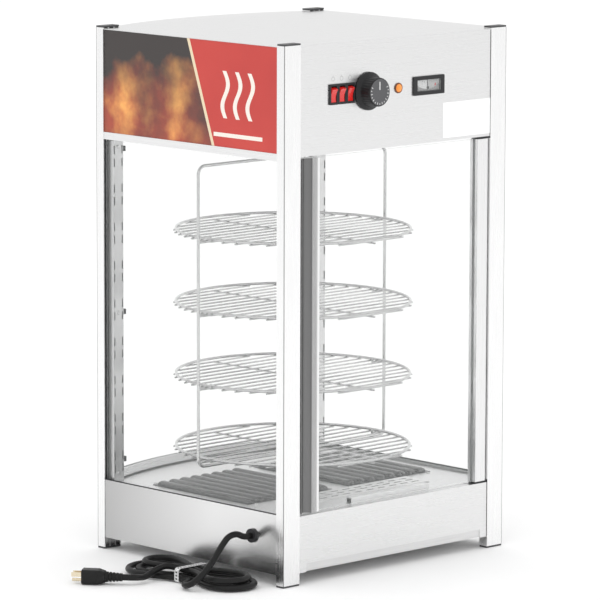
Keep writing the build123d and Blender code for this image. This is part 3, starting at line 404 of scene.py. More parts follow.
class Piece:
    """Vertices and faces of one piece, gathered from several surfaces, in millimetres."""

    def __init__(self):
        self.points = []
        self.faces = []
        self.slots = []
        self.count = 0

    def grid(self, points, wrap_u=False, wrap_v=False, slot=0, ends=False):
        """Quads over an array of points (nu, nv, 3); ends closes the first and last rows."""
        nu, nv = points.shape[:2]
        index = self.count + np.arange(nu * nv).reshape(nu, nv)
        rows = np.vstack([index, index[:1]]) if wrap_u else index
        rows = np.hstack([rows, rows[:, :1]]) if wrap_v else rows
        corners = [rows[:-1, :-1], rows[1:, :-1], rows[1:, 1:], rows[:-1, 1:]]
        quads = np.stack(corners, axis=-1).reshape(-1, 4)
        self.faces += quads.tolist()
        self.slots += [slot] * len(quads)
        if ends:
            self.faces += [index[0].tolist(), index[-1][::-1].tolist()]
            self.slots += [slot, slot]
        self.points.append(points.reshape(-1, 3))
        self.count += nu * nv
        return self

    def box(self, low, high, slot=0):
        """A plain block between two corners."""
        (a, b, c), (d, e, f) = low, high
        rows = [[(a, b, z), (d, b, z), (d, e, z), (a, e, z)] for z in (c, f)]
        return self.grid(np.array(rows, dtype=float), wrap_v=True, slot=slot, ends=True)

    def make(self, name, materials, body, replaced=(), smooth=40.0):
        """The object, which rides a body and stands for the replaced CAD nodes."""
        mesh = bpy.data.meshes.new(name)
        mesh.from_pydata((np.vstack(self.points) * MM).tolist(), [], self.faces)
        for material in materials:
            mesh.materials.append(material)
        mesh.polygons.foreach_set("material_index", self.slots)
        mesh.validate()
        mesh.update()
        obj = bpy.data.objects.new(name, mesh)
        bpy.context.scene.collection.objects.link(obj)
        recalculate(obj)
        mesh.shade_smooth()
        mesh.set_sharp_from_angle(angle=radians(smooth))
        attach(obj, body)
        if replaced:
            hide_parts(*replaced)
        return obj


def recalculate(obj):
    """Turns every face of a mesh outwards."""
    work = bmesh.new()
    work.from_mesh(obj.data)
    bmesh.ops.recalc_face_normals(work, faces=work.faces)
    work.to_mesh(obj.data)
    work.free()


def unit(vector):
    """The vector at length 1."""
    return vector / np.linalg.norm(vector)


def tube(path, radius, sides=14, closed=False):
    """Rings P(s, t) = C(s) + r (cos t N + sin t B); N is carried along C without twist."""
    path = np.asarray(path, dtype=float)
    if closed:
        ahead = np.roll(path, -1, axis=0) - np.roll(path, 1, axis=0)
    else:
        ahead = np.gradient(path, axis=0)
    side = unit(np.cross(ahead[0], [0.3, 0.5, 0.81]))
    angles = np.linspace(0, 2 * pi, sides, endpoint=False)
    rings = []
    for point, way in zip(path, ahead):
        way = unit(way)
        side = unit(side - way * side.dot(way))
        other = np.cross(way, side)
        rings.append(point + radius * (np.outer(np.cos(angles), side) + np.outer(np.sin(angles), other)))
    return np.array(rings)


def domed(path, radius, steps=3):
    """A tube's path and radii with rounded ends: r(a) = r cos a, moved on by r sin a."""
    path = np.asarray(path, dtype=float)
    first, last = unit(path[1] - path[0]), unit(path[-1] - path[-2])
    angles = np.linspace(0, pi / 2 * 0.9, steps + 1)[1:]
    start = [path[0] + first * radius * (1 - sin(a)) for a in angles[::-1]]
    end = [path[-1] - last * radius * (1 - sin(a)) for a in angles]
    middle = [path[0] + first * radius] + list(path[1:-1]) + [path[-1] - last * radius]
    thinner = [radius * cos(a) for a in angles]
    radii = thinner[::-1] + [radius] * len(middle) + thinner
    return np.array(start + middle + end), np.array(radii)


def wire(piece, path, radius, sides=12):
    """A straight or bent wire with rounded ends."""
    line, radii = domed(path, radius)
    rings = tube(line, 1.0, sides)
    piece.grid(line[:, None, :] + (rings - line[:, None, :]) * radii[:, None, None], wrap_v=True, ends=True)


def lathe(profile, centre, sides=96, wave=None):
    """Points C + (r cos a, y, r sin a) for a profile of (r, y) pairs, turned about an axis along Y."""
    angles = np.linspace(0, 2 * pi, sides, endpoint=False)
    rows = []
    for radius, y in profile:
        radii = radius - (wave(angles, radius, y) if wave else 0.0)
        rows.append(np.stack([radii * np.cos(angles), np.full(sides, y), radii * np.sin(angles)], axis=-1))
    return np.array(rows) + np.array(centre)


def arc3(first, middle, last, steps):
    """Points on the circle through three points: its centre solves equal distances in their plane."""
    a, b, c = (np.asarray(p, dtype=float) for p in (first, middle, last))
    normal = unit(np.cross(b - a, c - a))
    rows = np.array([b - a, c - a, normal])
    centre = np.linalg.solve(rows, np.array([(b @ b - a @ a) / 2, (c @ c - a @ a) / 2, normal @ a]))
    radius = np.linalg.norm(a - centre)
    along = (a - centre) / radius
    other = np.cross(normal, along)
    end = np.arctan2((c - centre) @ other, (c - centre) @ along) % (2 * pi)
    turns = np.linspace(0, end, steps + 1)
    return [centre + radius * (cos(t) * along + sin(t) * other) for t in turns]


def rounded(points, radii, steps=5):
    """A route of straight runs joined by tangent arcs, as points on it."""
    points = [np.asarray(p, dtype=float) for p in points]
    route = [points[0]]
    for before, corner, after, radius in zip(points, points[1:], points[2:], radii):
        into, out = unit(corner - before), unit(after - corner)
        turn = np.arccos(np.clip(into @ out, -1, 1))
        cut = radius * tan(turn / 2)
        inward = unit(out - into)
        centre = corner + inward * radius / cos(turn / 2)
        start = corner - into * cut
        for step in range(steps + 1):
            angle = turn * step / steps
            route.append(centre + (start - centre) * cos(angle) + into * radius * sin(angle))
    route.append(points[-1])
    return route


def easy(points, share=0.45):
    """Radius at each corner: a share of the shorter run over the tangent of half the turn."""
    radii = []
    points = [np.asarray(p, dtype=float) for p in points]
    for before, corner, after in zip(points, points[1:], points[2:]):
        into, out = corner - before, after - corner
        turn = np.arccos(np.clip(unit(into) @ unit(out), -1, 1))
        shorter = min(np.linalg.norm(into), np.linalg.norm(out))
        radii.append(share * shorter / tan(turn / 2))
    return radii


class CaseCamera(bpy.types.PropertyGroup):
    """The camera that matches the photograph."""

    place: bpy.props.FloatVectorProperty(
        name="Place", description="Where the camera is, in metres", size=3, default=(4.867, 5.072, 1.456))
    turn: bpy.props.FloatProperty(
        name="Turn", description="Heading from +Y towards -X, in degrees", default=136.152)
    dip: bpy.props.FloatProperty(
        name="Dip", description="Angle below the horizon, in degrees", default=8.676)
    roll: bpy.props.FloatProperty(
        name="Roll", description="Turn about the view line, in degrees", default=0.160)
    lens: bpy.props.FloatProperty(
        name="Lens", description="Focal length in mm over a 36 mm sensor", default=278.47)


class CaseLooks(bpy.types.PropertyGroup):
    """Counts and sizes that the pieces are made from, in millimetres."""

    wire_sides: bpy.props.IntProperty(
        name="Wire sides", description="Facets round each wire", default=12, min=6)
    rack_pitch: bpy.props.FloatProperty(
        name="Rack pitch", description="Spacing of the wires of a rack, in mm", default=22.6)
    rack_wires: bpy.props.IntProperty(
        name="Rack wires", description="Parallel wires in each rack", default=16)
    flutes: bpy.props.IntProperty(
        name="Flutes", description="Flutes in each heater cover", default=8)
    knob_ribs: bpy.props.IntProperty(
        name="Knob ribs", description="Grooves round the knob's grip", default=30)
    scale_marks: bpy.props.IntProperty(
        name="Scale marks", description="White marks on the knob's face", default=15)
    bevel: bpy.props.FloatProperty(
        name="Bevel", description="Share of each paint's own edge rounding", default=1.0)


class CaseOperator:
    """Shared by the operators: the settings and the materials."""

    bl_options = {"REGISTER", "UNDO"}

    @property
    def looks(self):
        return bpy.context.scene.case_looks

    def paint(self, name):
        """The material of a name, from the palette that is made once."""
        if not PAINTS:
            PAINTS.update(palette())
        return PAINTS[name]


PAINTS = {}


class CASE_OT_camera(CaseOperator, bpy.types.Operator):
    """Places the camera: forward is (-sin a cos e, cos a cos e, -sin e) for heading a and dip e."""

    bl_idname = "case.camera"
    bl_label = "Camera"

    def execute(self, context):
        view = context.scene.case_camera
        a, e, r = (radians(v) for v in (view.turn, view.dip, view.roll))
        ahead = Vector((-sin(a) * cos(e), cos(a) * cos(e), -sin(e)))
        right = ahead.cross(Vector((0, 0, 1))).normalized()
        up = right.cross(ahead)
        x_axis = right * cos(r) + up * sin(r)
        y_axis = up * cos(r) - right * sin(r)
        data = bpy.data.cameras.new("photo_camera")
        data.sensor_width = 36.0
        data.lens = view.lens
        data.clip_end = 100.0
        obj = bpy.data.objects.new("photo_camera", data)
        context.scene.collection.objects.link(obj)
        matrix = Matrix((x_axis, y_axis, -ahead)).transposed().to_4x4()
        matrix.translation = Vector(view.place)
        obj.matrix_world = matrix
        context.scene.camera = obj
        return {"FINISHED"}


# Cord, in millimetres: two layers of loops, each run given from the middle of the bundle.
# Points of the route lie no closer than CLOSEST.
CORD_R = 4.75
CORD_LIFT = 1.4
LAYER_GAP = 0.8
LAYER_1 = CORD_R + CORD_LIFT
LAYER_2 = LAYER_1 + 2 * CORD_R + LAYER_GAP
WAIST_DRAW = 19.0
WAIST_HALF = 9.5
BEND_Y = 76.0
BEND_STEPS = 14
RUN_STEPS = 5
CLOSEST = 0.4
NEAR_RUNS = [49.0, 33.0, 22.0, 33.0]
FAR_RUNS = [38.5, 27.5, 27.5]
PLUG_TURN = radians(-53.0)
PLUG_AXIS = np.array([cos(PLUG_TURN), sin(PLUG_TURN), 0.0])
TAIL_END = np.array([388.0, 31.0, 11.3])


def at_bundle(x, y, z):
    """A point given from the middle of the bundle, as a point of the case."""
    return np.array([BUNDLE_X + x, BUNDLE_Y + y, z])


def s_run(start, end):
    """Two equal arcs that leave and arrive along Y, bending aside between two points."""
    middle = (start + end) / 2
    heading = np.array([0.0, 1.0 if end[1] > start[1] else -1.0, 0.0])
    route = []
    for first, last, sign in ((start, middle, 1), (middle, end, -1)):
        chord = last - first
        size = np.linalg.norm(chord)
        bend = np.arccos(np.clip(heading @ chord / size, -1, 1))
        aside = unit(heading - chord / size * (heading @ chord / size))
        crown = first + chord / 2 + aside * sign * size / 2 * tan(bend / 2)
        route += arc3(first, crown, last, RUN_STEPS)[1:]
    return route


def cord_route():
    """The cord's centre line: the lead, three loops drawn in at the waist, and the tail."""
    first = at_bundle(NEAR_RUNS[0] - WAIST_DRAW, WAIST_HALF, LAYER_1)
    last = at_bundle(NEAR_RUNS[3] - WAIST_DRAW, -WAIST_HALF, LAYER_2)
    lead = [(235.5, 146.0, 70.0), (249.5, 146.0, 70.0), (263.0, 145.0, 77.0), (277.0, 142.0, 74.0),
            (291.0, 142.0, 61.0), (305.0, 145.0, 49.0), (320.0, 148.0, 37.0), (335.0, 147.0, 24.0),
            (346.0, 138.0, 12.0), (347.0, 124.0, LAYER_1 + 1.0), (337.0, 110.5, LAYER_1),
            first + np.array([0, 15.0, 0]), first]
    route = rounded(lead, easy(lead))
    layers = [LAYER_1, LAYER_1, LAYER_2]
    route.append(at_bundle(NEAR_RUNS[0] - WAIST_DRAW, 0, LAYER_1))
    for turn, (z, far) in enumerate(zip(layers, FAR_RUNS)):
        near, after = NEAR_RUNS[turn], NEAR_RUNS[turn + 1]
        next_z = layers[min(turn + 1, len(layers) - 1)]
        low_near, low_far = at_bundle(near, -BEND_Y, z), at_bundle(-far, -BEND_Y, z)
        high_far, high_near = at_bundle(-far, BEND_Y, z), at_bundle(after, BEND_Y, z)
        low_crown = at_bundle((near - far) / 2, -BEND_Y - (near + far) / 2, z)
        high_crown = at_bundle((after - far) / 2, BEND_Y + (after + far) / 2, z)
        far_waist = at_bundle(WAIST_DRAW - far, 0, z)
        route += s_run(at_bundle(near - WAIST_DRAW, 0, z), low_near)
        route += arc3(low_near, low_crown, low_far, BEND_STEPS)[1:]
        route += s_run(low_far, far_waist)
        route += s_run(far_waist, high_far)
        route += arc3(high_far, high_crown, high_near, BEND_STEPS)[1:]
        route += s_run(high_near, at_bundle(after - WAIST_DRAW, 0, next_z))
    tail = [last, last + [0, -8.0, 0], last + [12.5, -20.5, 5.0], last + [33.0, -26.0, 0],
            (last[0] + 53.0, last[1] - 24.0, 8.0), TAIL_END - 16.0 * PLUG_AXIS, TAIL_END]
    return route + rounded(tail, easy(tail))


class CASE_OT_cord(CaseOperator, bpy.types.Operator):
    """Lays the supply cord as one curve: the lead, three drawn-in loops and the tail to the plug."""

    bl_idname = "case.cord"
    bl_label = "Cord"

    def execute(self, context):
        points = [np.asarray(p) for p in cord_route()]
        kept = [points[0]]
        for point in points[1:]:
            if np.linalg.norm(point - kept[-1]) > CLOSEST:
                kept.append(point)
        data = bpy.data.curves.new("cord", "CURVE")
        data.dimensions = "3D"
        data.bevel_depth = CORD_R * MM
        data.bevel_resolution = 5
        data.resolution_u = 3
        data.use_fill_caps = True
        line = data.splines.new("NURBS")
        line.points.add(len(kept) - 1)
        line.points.foreach_set("co", np.column_stack([np.array(kept) * MM, np.ones(len(kept))]).ravel())
        line.order_u = 3
        line.use_endpoint_u = True
        obj = bpy.data.objects.new("cord", data)
        context.scene.collection.objects.link(obj)
        data.materials.append(self.paint("cord"))
        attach(obj, "cabinet")
        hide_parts("cord_lead", "cord_bundle", "cord_tail")
        return {"FINISHED"}


# Wire racks and their carrier, in millimetres
RACK_COUNT = 4
RACK_BOTTOM = 158.0
RACK_RISE = 112.0
RIM_R = 179.75
RIM_WIRE_R = 2.25
RIM_FACETS = 144
CHORD_R = 182.0
CHORD_PAST = 2.5
CHORD_DROP = 3.35
CHORD_WIRE_R = 1.4
STRETCHER_HALF = 179.0
STRETCHER_DROP = 5.85
CARRIER_HALF = 197.4
CARRIER_BOTTOM = 147.0
CARRIER_TOP = 605.0
CARRIER_BEND = 13.0
CARRIER_STEPS = 8
CARRIER_WIRE_R = 2.5
CARRIER_FACETS = 16
HOOK_ROOT = 197.0
HOOK_TIP = 171.75
HOOK_DROP = 4.3
HOOK_RISE = 6.3
HOOK_BEND = 2.4
HOOK_WIRE_R = 2.0


class CASE_OT_racks(CaseOperator, bpy.types.Operator):
    """Makes the four racks: a rim torus over wires of half length sqrt(R^2 - y^2) + overhang."""

    bl_idname = "case.racks"
    bl_label = "Wire racks"

    def execute(self, context):
        looks = self.looks
        turn = np.linspace(0, 2 * pi, RIM_FACETS, endpoint=False)
        rim_x, rim_y = RIM_R * np.cos(turn), AXIS_Y + RIM_R * np.sin(turn)
        for index in range(RACK_COUNT):
            level = RACK_BOTTOM + RACK_RISE * index
            piece = Piece()
            rim = np.stack([rim_x, rim_y, np.full(RIM_FACETS, level)], axis=-1)
            piece.grid(tube(rim, RIM_WIRE_R, looks.wire_sides, closed=True), wrap_u=True, wrap_v=True)
            for place in range(looks.rack_wires):
                y = (place - (looks.rack_wires - 1) / 2) * looks.rack_pitch
                half = sqrt(CHORD_R ** 2 - y ** 2) + CHORD_PAST
                chord = [(x, AXIS_Y + y, level - CHORD_DROP) for x in (-half, 0, half)]
                wire(piece, chord, CHORD_WIRE_R, looks.wire_sides)
            ends = (-STRETCHER_HALF, 0, STRETCHER_HALF)
            stretcher = [(0, AXIS_Y + y, level - STRETCHER_DROP) for y in ends]
            wire(piece, stretcher, CHORD_WIRE_R, looks.wire_sides)
            piece.make(f"wire_rack_{index + 1}", [self.paint("wire")], "turntable",
                       [f"rack_{index + 1}"], smooth=60.0)
        return {"FINISHED"}


class CASE_OT_carrier(CaseOperator, bpy.types.Operator):
    """Bends the carrier: a wire round a rectangle with arcs at its corners, and two hooks for each rack."""

    bl_idname = "case.carrier"
    bl_label = "Wire carrier"

    def execute(self, context):
        piece = Piece()
        start = (0, AXIS_Y, CARRIER_BOTTOM)
        corners = [(CARRIER_HALF, AXIS_Y, CARRIER_BOTTOM), (CARRIER_HALF, AXIS_Y, CARRIER_TOP),
                   (-CARRIER_HALF, AXIS_Y, CARRIER_TOP), (-CARRIER_HALF, AXIS_Y, CARRIER_BOTTOM)]
        loop = rounded([start] + corners + [start], [CARRIER_BEND] * len(corners), CARRIER_STEPS)[:-1]
        piece.grid(tube(loop, CARRIER_WIRE_R, CARRIER_FACETS, closed=True), wrap_u=True, wrap_v=True)
        for index in range(RACK_COUNT):
            z = RACK_BOTTOM + RACK_RISE * index - HOOK_DROP
            for side in (1, -1):
                tip = side * HOOK_TIP
                path = [(side * HOOK_ROOT, AXIS_Y, z), (tip, AXIS_Y, z), (tip, AXIS_Y, z + HOOK_RISE)]
                wire(piece, rounded(path, [HOOK_BEND]), HOOK_WIRE_R)
        piece.make("carrier_wire", [self.paint("wire")], "turntable", ["wire_carrier"],
                   smooth=60.0)
        return {"FINISHED"}


# Fluted heater covers, in millimetres; FLUTE_DEPTHS are shares of FLUTE_R, inwards from the outline
COVER_INNER = 18.0
COVER_OUTER = 194.0
COVER_HALF = 106.5
COVER_SHEET = 1.0
FLUTE_PITCH = 22.0
FLUTE_LENGTH = 207.0
FLUTE_R = 9.5
FLUTE_RISE = 5.9
FLUTE_SINK = 0.01
FLUTE_FACETS = 40
FLUTE_DEPTHS = (0.0, 0.04, 0.1, 0.2, 0.34, 0.5, 0.7, 0.88, 0.995)


class CASE_OT_heater_covers(CaseOperator, bpy.types.Operator):
    """Presses the fluted covers: at d inside its outline a flute rises to h (1 - (1 - d/r)^2.4)^0.6."""

    bl_idname = "case.heater_covers"
    bl_label = "Heater covers"

    def execute(self, context):
        piece = Piece()
        half_straight = FLUTE_LENGTH / 2 - FLUTE_R
        turn = np.linspace(0, 2 * pi, FLUTE_FACETS, endpoint=False)
        shift = np.where(np.sin(turn) >= 0, half_straight, -half_straight)
        for side in (1, -1):
            low_x, high_x = sorted((side * COVER_INNER, side * COVER_OUTER))
            piece.box((low_x, AXIS_Y - COVER_HALF, DECK_Z),
                      (high_x, AXIS_Y + COVER_HALF, DECK_Z + COVER_SHEET))
            for index in range(self.looks.flutes):
                x = side * (COVER_INNER + FLUTE_PITCH * (index + 0.5))
                rows = []
                for depth in FLUTE_DEPTHS:
                    rise = FLUTE_RISE * (1 - (1 - depth) ** 2.4) ** 0.6
                    radius = FLUTE_R * (1 - depth)
                    z = np.full(FLUTE_FACETS, DECK_Z + COVER_SHEET - FLUTE_SINK + rise)
                    y = AXIS_Y + shift + radius * np.sin(turn)
                    rows.append(np.stack([x + radius * np.cos(turn), y, z], axis=-1))
                piece.grid(np.array(rows), wrap_v=True, ends=True)
        piece.make("fluted_covers", [self.paint("cover")], "cabinet", ["heater_covers"],
                   smooth=50.0)
        return {"FINISHED"}


# Knob, in millimetres and degrees: its outline is pairs of a radius and a distance from the panel
KNOB_SIDE = [(26.0, 0.6), (28.1, 0.7), (28.5, 1.2), (28.5, 3.0), (28.0, 3.6), (23.4, 5.4),
             (22.5, 6.4), (22.3, 7.4), (22.2, 8.2), (21.9, 14.0), (21.6, 22.6), (21.3, 23.9),
             (20.6, 24.6), (19.8, 24.8)]
KNOB_FACE = 24.7
KNOB_TOP = [(19.8, 24.8), (19.4, KNOB_FACE), (10.0, KNOB_FACE), (0.05, KNOB_FACE)]
GRIP = (7.5, 24.0)
RIB_DEPTH = 0.2
KNOB_FACETS = 360
SCALE_START = -205.0
SCALE_SWEEP = 230.0
MARK_END = 18.6
MARK_LENGTHS = (3.2, 2.2)
MARK_HALF = 0.45
LINE_START = 3.5
LINE_END = 15.5
LINE_HALF = 0.8
INK = 0.12


class CASE_OT_knob(CaseOperator, bpy.types.Operator):
    """Turns the knob: r(a) = R - 0.2 (1 + cos(n a)) on the grip, with a scale and a line on its face."""

    bl_idname = "case.knob"
    bl_label = "Thermostat knob"

    def execute(self, context):
        ribs = self.looks.knob_ribs
        centre = (KNOB_X, PANEL_Y, CONTROL_Z)

        def wave(angles, radius, y):
            return RIB_DEPTH * (1 + np.cos(ribs * angles)) if GRIP[0] < y < GRIP[1] else 0.0

        piece = Piece()
        piece.grid(lathe(KNOB_SIDE, centre, KNOB_FACETS, wave), wrap_v=True)
        piece.grid(lathe(KNOB_TOP, centre), wrap_v=True, slot=1)
        piece.make("knob", [self.paint("knob"), self.paint("face")], "knob", ["thermostat_knob"],
                   smooth=35.0)
        marks = Piece()
        for index in range(self.looks.scale_marks):
            angle = radians(SCALE_START + SCALE_SWEEP * index / (self.looks.scale_marks - 1))
            self.stroke(marks, angle, MARK_END - MARK_LENGTHS[index % 2], MARK_END, MARK_HALF)
        self.stroke(marks, radians(90.0), LINE_START, LINE_END, LINE_HALF)
        marks.make("knob_scale", [self.paint("mark")], "knob")
        return {"FINISHED"}

    def stroke(self, piece, angle, start, end, half):
        """A thin printed line on the knob's face, along a radius."""
        along = np.array([cos(angle), 0.0, sin(angle)])
        across = np.array([-sin(angle), 0.0, cos(angle)]) * half
        base = np.array([KNOB_X, PANEL_Y + KNOB_FACE, CONTROL_Z])
        corners = np.array([base + along * start - across, base + along * end - across,
                            base + along * end + across, base + along * start + across])
        piece.grid(np.array([corners, corners + (0, INK, 0)]), wrap_v=True, ends=True)


# Pilot lamp, in millimetres: its bezel is pairs of a radius and a distance from the panel
BEZEL = [(7.6, 0.0), (8.0, 0.3), (7.9, 1.2), (7.2, 2.0), (6.5, 2.1), (6.1, 1.6), (6.0, 0.4)]
LENS_R = 6.0
LENS_FOOT = 0.4
LENS_EDGE = 1.7
LENS_RISE = 3.6
LENS_RING = 0.12
LENS_ROWS = 24
POLE_R = 0.05


class CASE_OT_pilot_lamp(CaseOperator, bpy.types.Operator):
    """Turns the pilot lamp: a bezel and a ringed lens, y = y0 + 3.6 (1 - (r/6)^2) + 0.12 cos(4 r)."""

    bl_idname = "case.pilot_lamp"
    bl_label = "Pilot lamp"

    def execute(self, context):
        centre = (LAMP_X, PANEL_Y, CONTROL_Z)
        piece = Piece()
        piece.grid(lathe(BEZEL, centre), wrap_v=True)
        piece.make("pilot_bezel", [self.paint("rim")], "cabinet", ["pilot_lamp"])
        radii = np.linspace(LENS_R, POLE_R, LENS_ROWS)
        dome = [(r, LENS_EDGE + LENS_RISE * (1 - (r / LENS_R) ** 2) + LENS_RING * cos(4 * r)) for r in radii]
        lens = Piece()
        lens.grid(lathe([(LENS_R, LENS_FOOT)] + dome, centre), wrap_v=True)
        lens.make("pilot_lens", [self.paint("amber")], "cabinet")
        return {"FINISHED"}


# Thermometer, in millimetres: half sizes of the dial, and depths from the panel
DIAL_HALF_X = 24.9
DIAL_HALF_Z = 8.4
CARD_DEPTHS = (-1.5, -1.3)
WINDOW_DEPTHS = (1.2, 1.8)


class CASE_OT_dial(CaseOperator, bpy.types.Operator):
    """Lays the printed card and the clear window in the thermometer's case."""

    bl_idname = "case.dial"
    bl_label = "Thermometer dial"

    def execute(self, context):
        for name, paint, slot, (back, front) in (
            ("dial_card", "dial", "dial_face", CARD_DEPTHS),
            ("dial_window", "window", "clear_glass", WINDOW_DEPTHS),
        ):
            sheet = Piece()
            sheet.box((DIAL_X - DIAL_HALF_X, PANEL_Y + back, CONTROL_Z - DIAL_HALF_Z),
                      (DIAL_X + DIAL_HALF_X, PANEL_Y + front, CONTROL_Z + DIAL_HALF_Z))
            sheet.make(name, [self.paint(paint)], "cabinet")
        return {"FINISHED"}


# Marks on the rear panel, in millimetres
RING_Z = 749.0
RING_OUTER = 3.4
RING_INNER = 2.7
RING_INK = 0.08
RING_FACETS = 48
STEM_HALF = 0.4
STEM_HEIGHTS = (752.6, 754.4)
LABEL_LOW = (-199.4, 643.5)
LABEL_HIGH = (-98.0, 697.0)
LABEL_SHEET = 0.15


class CASE_OT_panel_marks(CaseOperator, bpy.types.Operator):
    """Prints the rear panel: a faint ring with a stem over each rocker, and a bare white label."""

    bl_idname = "case.panel_marks"
    bl_label = "Panel marks"

    def execute(self, context):
        rings = Piece()
        profile = [(RING_OUTER, 0.0), (RING_OUTER, RING_INK), (RING_INNER, RING_INK), (RING_INNER, 0.0)]
        for x in ROCKER_XS:
            rings.grid(lathe(profile, (x, PANEL_Y, RING_Z), RING_FACETS), wrap_v=True)
            rings.box((x - STEM_HALF, PANEL_Y, STEM_HEIGHTS[0]),
                      (x + STEM_HALF, PANEL_Y + RING_INK, STEM_HEIGHTS[1]))
        rings.make("rocker_marks", [self.paint("faint")], "cabinet")
        label = Piece()
        label.box((LABEL_LOW[0], PANEL_Y, LABEL_LOW[1]),
                  (LABEL_HIGH[0], PANEL_Y + LABEL_SHEET, LABEL_HIGH[1]))
        label.make("bare_label", [self.paint("label")], "cabinet")
        return {"FINISHED"}


# Black seals, in millimetres: pairs of a low and a high limit
MOUTH_YS = ((-184.0, -182.6), (196.6, 198.0))
MOUTH_XS = ((229.2, 230.8), (223.2, 224.8))
MOUTH_ZS = (108.2, 633.8)
FOOT_XS = (229.1, 232.0)
FOOT_YS = (-184.0, 198.0)
FOOT_ZS = (108.05, 109.3)
SEAM_XS = (199.2, 200.0)
SEAM_YS = (-0.4, 0.1)
SEAM_ZS = ((639.2, 800.8), (18.5, 103.3))


class CASE_OT_seals(CaseOperator, bpy.types.Operator):
    """Presses black seals into the glazing channels, under the side glass and by the rear panels."""

    bl_idname = "case.seals"
    bl_label = "Glazing seals"

    def execute(self, context):
        seals = Piece()
        strips = [(xs, ys, MOUTH_ZS) for ys in MOUTH_YS for xs in MOUTH_XS]
        strips.append((FOOT_XS, FOOT_YS, FOOT_ZS))
        strips += [(SEAM_XS, (PANEL_Y + SEAM_YS[0], PANEL_Y + SEAM_YS[1]), zs) for zs in SEAM_ZS]
        for side in (1, -1):
            for xs, ys, zs in strips:
                low_x, high_x = sorted(side * x for x in xs)
                seals.box((low_x, ys[0], zs[0]), (high_x, ys[1], zs[1]))
        seals.make("glazing_seals", [self.paint("black")], "cabinet")
        return {"FINISHED"}


# The paint of each CAD node that is carried as it is
NODE_PAINTS = {
    "post": ["post_front_right", "post_rear_right", "post_front_left", "post_rear_left"],
    "cap": ["post_end_caps"],
    "rail": ["side_header_rails", "front_rails"],
    "stile": ["door_hinge_stile"],
    "pull": ["door_handle_stile"],
    "panel": ["base_rear", "base_front", "control_panel"],
    "side": ["base_side_right", "base_side_left"],
    "roof": ["roof_panel", "roof_front_strip"],
    "deck": ["floor_deck", "water_pan", "water_pan_lid", "deck_bar"],
    "upright": ["slotted_uprights"],
    "pan": ["bottom_pan", "ceiling_panel", "heating_elements"],
    "black": ["switch_bodies", "door_pivots", "cord_gland", "terminal_block", "glass_clips",
              "thermometer_case"],
    "glass_x": ["glass_right", "glass_left"],
    "glass_y": ["door_glass"],
    "glass_bow": ["glass_front"],
    "sign_right": ["sign_right"],
    "sign_left": ["sign_left"],
    "sign_front": ["sign_front"],
    "red": ["rocker_1", "rocker_2", "rocker_3"],
    "cord": ["plug_body"],
    "blade": ["plug_blades"],
    "pointer": ["thermometer_pointer"],
    "bulb": ["header_lamp"],
    "motor": ["gearmotor", "drive_hub", "thermostat"],
    "strap": ["cord_tie"],
    "screw": ["screws"],
}
# The rounding of the edges under a paint, in millimetres
BEVELLED = {
    "post": 0.6, "cap": 0.5, "rail": 0.4, "stile": 0.4, "pull": 0.3, "panel": 0.3, "side": 0.3,
    "roof": 0.3, "deck": 0.25, "black": 0.4, "red": 0.7, "screw": 0.25, "cord": 0.8, "blade": 0.25,
}


class CASE_OT_frame_looks(CaseOperator, bpy.types.Operator):
    """Paints the CAD nodes that are carried as they are, and rounds their edges."""

    bl_idname = "case.frame_looks"
    bl_label = "Frame looks"

    def execute(self, context):
        for paint, names in NODE_PAINTS.items():
            for name in names:
                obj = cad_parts[name]
                obj.data.materials.clear()
                obj.data.materials.append(self.paint(paint))
                if paint in BEVELLED:
                    bevel = obj.modifiers.new("edges", "BEVEL")
                    bevel.width = BEVELLED[paint] * MM * self.looks.bevel
                    bevel.segments = 2
                    bevel.limit_method = "ANGLE"
                    bevel.angle_limit = radians(40.0)
                    bevel.harden_normals = False
        return {"FINISHED"}


# Floor, in millimetres
FLOOR_REACH = 9000
FLOOR_Z = -0.4

# Soft lights: name, place and size in metres, and power in watts; all face AIM
AIM = (0, 0, 0.4)
LIGHTS = (
    ("key", (3.0, -1.5, 3.4), 3.0, 9.0),
    ("top", (0.0, 0.5, 4.0), 3.0, 9.0),
    ("rear", (-1.5, 4.0, 2.2), 2.5, 5.0),
)


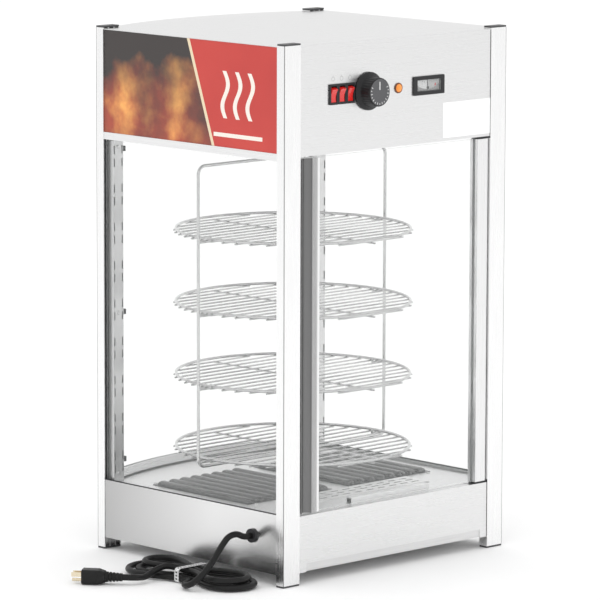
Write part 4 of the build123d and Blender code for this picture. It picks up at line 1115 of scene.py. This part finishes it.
class CASE_OT_stage(CaseOperator, bpy.types.Operator):
    """Sets the floor, the white world and the soft lights."""

    bl_idname = "case.stage"
    bl_label = "Stage"

    def execute(self, context):
        floor = Piece()
        ends = (-FLOOR_REACH, FLOOR_REACH)
        floor.grid(np.array([[(x, y, FLOOR_Z) for x in ends] for y in ends]))
        mesh = bpy.data.meshes.new("floor")
        mesh.from_pydata((np.vstack(floor.points) * MM).tolist(), [], floor.faces)
        obj = bpy.data.objects.new("floor", mesh)
        context.scene.collection.objects.link(obj)
        pale = Surface("pale_floor")
        pale.set(Base_Color=pale.noise(2.0).even().blend(grey(0.95), grey(0.97)), Roughness=0.9)
        mesh.materials.append(pale.material)
        self.world(context)
        for name, place, size, power in LIGHTS:
            self.lamp(context, name, place, size, power)
        context.scene.view_settings.view_transform = "Standard"
        return {"FINISHED"}

    def lamp(self, context, name, place, size, power):
        """A square soft light that faces the case and is not seen itself."""
        data = bpy.data.lights.new(name, "AREA")
        data.energy = power
        data.size = size
        obj = bpy.data.objects.new(name, data)
        context.scene.collection.objects.link(obj)
        obj.location = place
        obj.rotation_euler = (Vector(AIM) - Vector(place)).to_track_quat("-Z", "Y").to_euler()
        obj.visible_camera = False
        obj.visible_glossy = False

    def world(self, context):
        """White to the camera; to everything else a pale surround with a dimmer side at +X -Y."""
        world = bpy.data.worlds.new("studio")
        context.scene.world = world
        world.use_nodes = True
        shade = Shade(world.node_tree, None)
        nodes = world.node_tree.nodes
        plain = nodes["Background"]
        plain.inputs["Color"].default_value = grey(1.0)
        plain.inputs["Strength"].default_value = 1.0
        coord = shade.node("ShaderNodeTexCoord")
        split = shade.node("ShaderNodeSeparateXYZ", shade.out(coord, "Generated"))
        x, y, z = (shade.out(split, axis) for axis in range(3))
        facing = (x * 0.67 - y * 0.74).ramp(0.70, 1.0)
        low = abs(z).ramp(0.25, 0.6, 1.0, 0.0)
        tone = (facing * low).blend(grey(0.99), grey(0.68))
        tone = (z > 0.0).blend(grey(0.9), tone)
        path = shade.node("ShaderNodeLightPath")
        strength = shade.out(path, "Is Diffuse Ray").ramp(0.0, 1.0, 1.0, 1.16)
        soft = shade.node("ShaderNodeBackground", tone, strength)
        seen = shade.out(path, "Is Camera Ray")
        mix = shade.node("ShaderNodeMixShader", seen, shade.out(soft), shade.out(plain))
        shade.put(nodes["World Output"].inputs["Surface"], shade.out(mix))


OPERATORS = (
    CASE_OT_camera,
    CASE_OT_cord,
    CASE_OT_frame_looks,
    CASE_OT_racks,
    CASE_OT_carrier,
    CASE_OT_heater_covers,
    CASE_OT_knob,
    CASE_OT_pilot_lamp,
    CASE_OT_dial,
    CASE_OT_panel_marks,
    CASE_OT_seals,
    CASE_OT_stage,
)


class CASE_PT_panel(bpy.types.Panel):
    """Lists the pieces of the display case."""

    bl_idname = "CASE_PT_panel"
    bl_label = "Display case"
    bl_space_type = "VIEW_3D"
    bl_region_type = "UI"
    bl_category = "Display case"

    def draw(self, context):
        for operator in OPERATORS:
            self.layout.operator(operator.bl_idname)


CLASSES = (CaseCamera, CaseLooks) + OPERATORS + (CASE_PT_panel,)


def register():
    for cls in CLASSES:
        bpy.utils.register_class(cls)
    bpy.types.Scene.case_camera = bpy.props.PointerProperty(type=CaseCamera)
    bpy.types.Scene.case_looks = bpy.props.PointerProperty(type=CaseLooks)


def unregister():
    del bpy.types.Scene.case_looks
    del bpy.types.Scene.case_camera
    for cls in reversed(CLASSES):
        bpy.utils.unregister_class(cls)


def main():
    """Builds every piece in order."""
    register()
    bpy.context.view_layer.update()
    for operator in OPERATORS:
        group, name = operator.bl_idname.split(".")
        getattr(getattr(bpy.ops, group), name)()


if __name__ == "__main__":
    main()
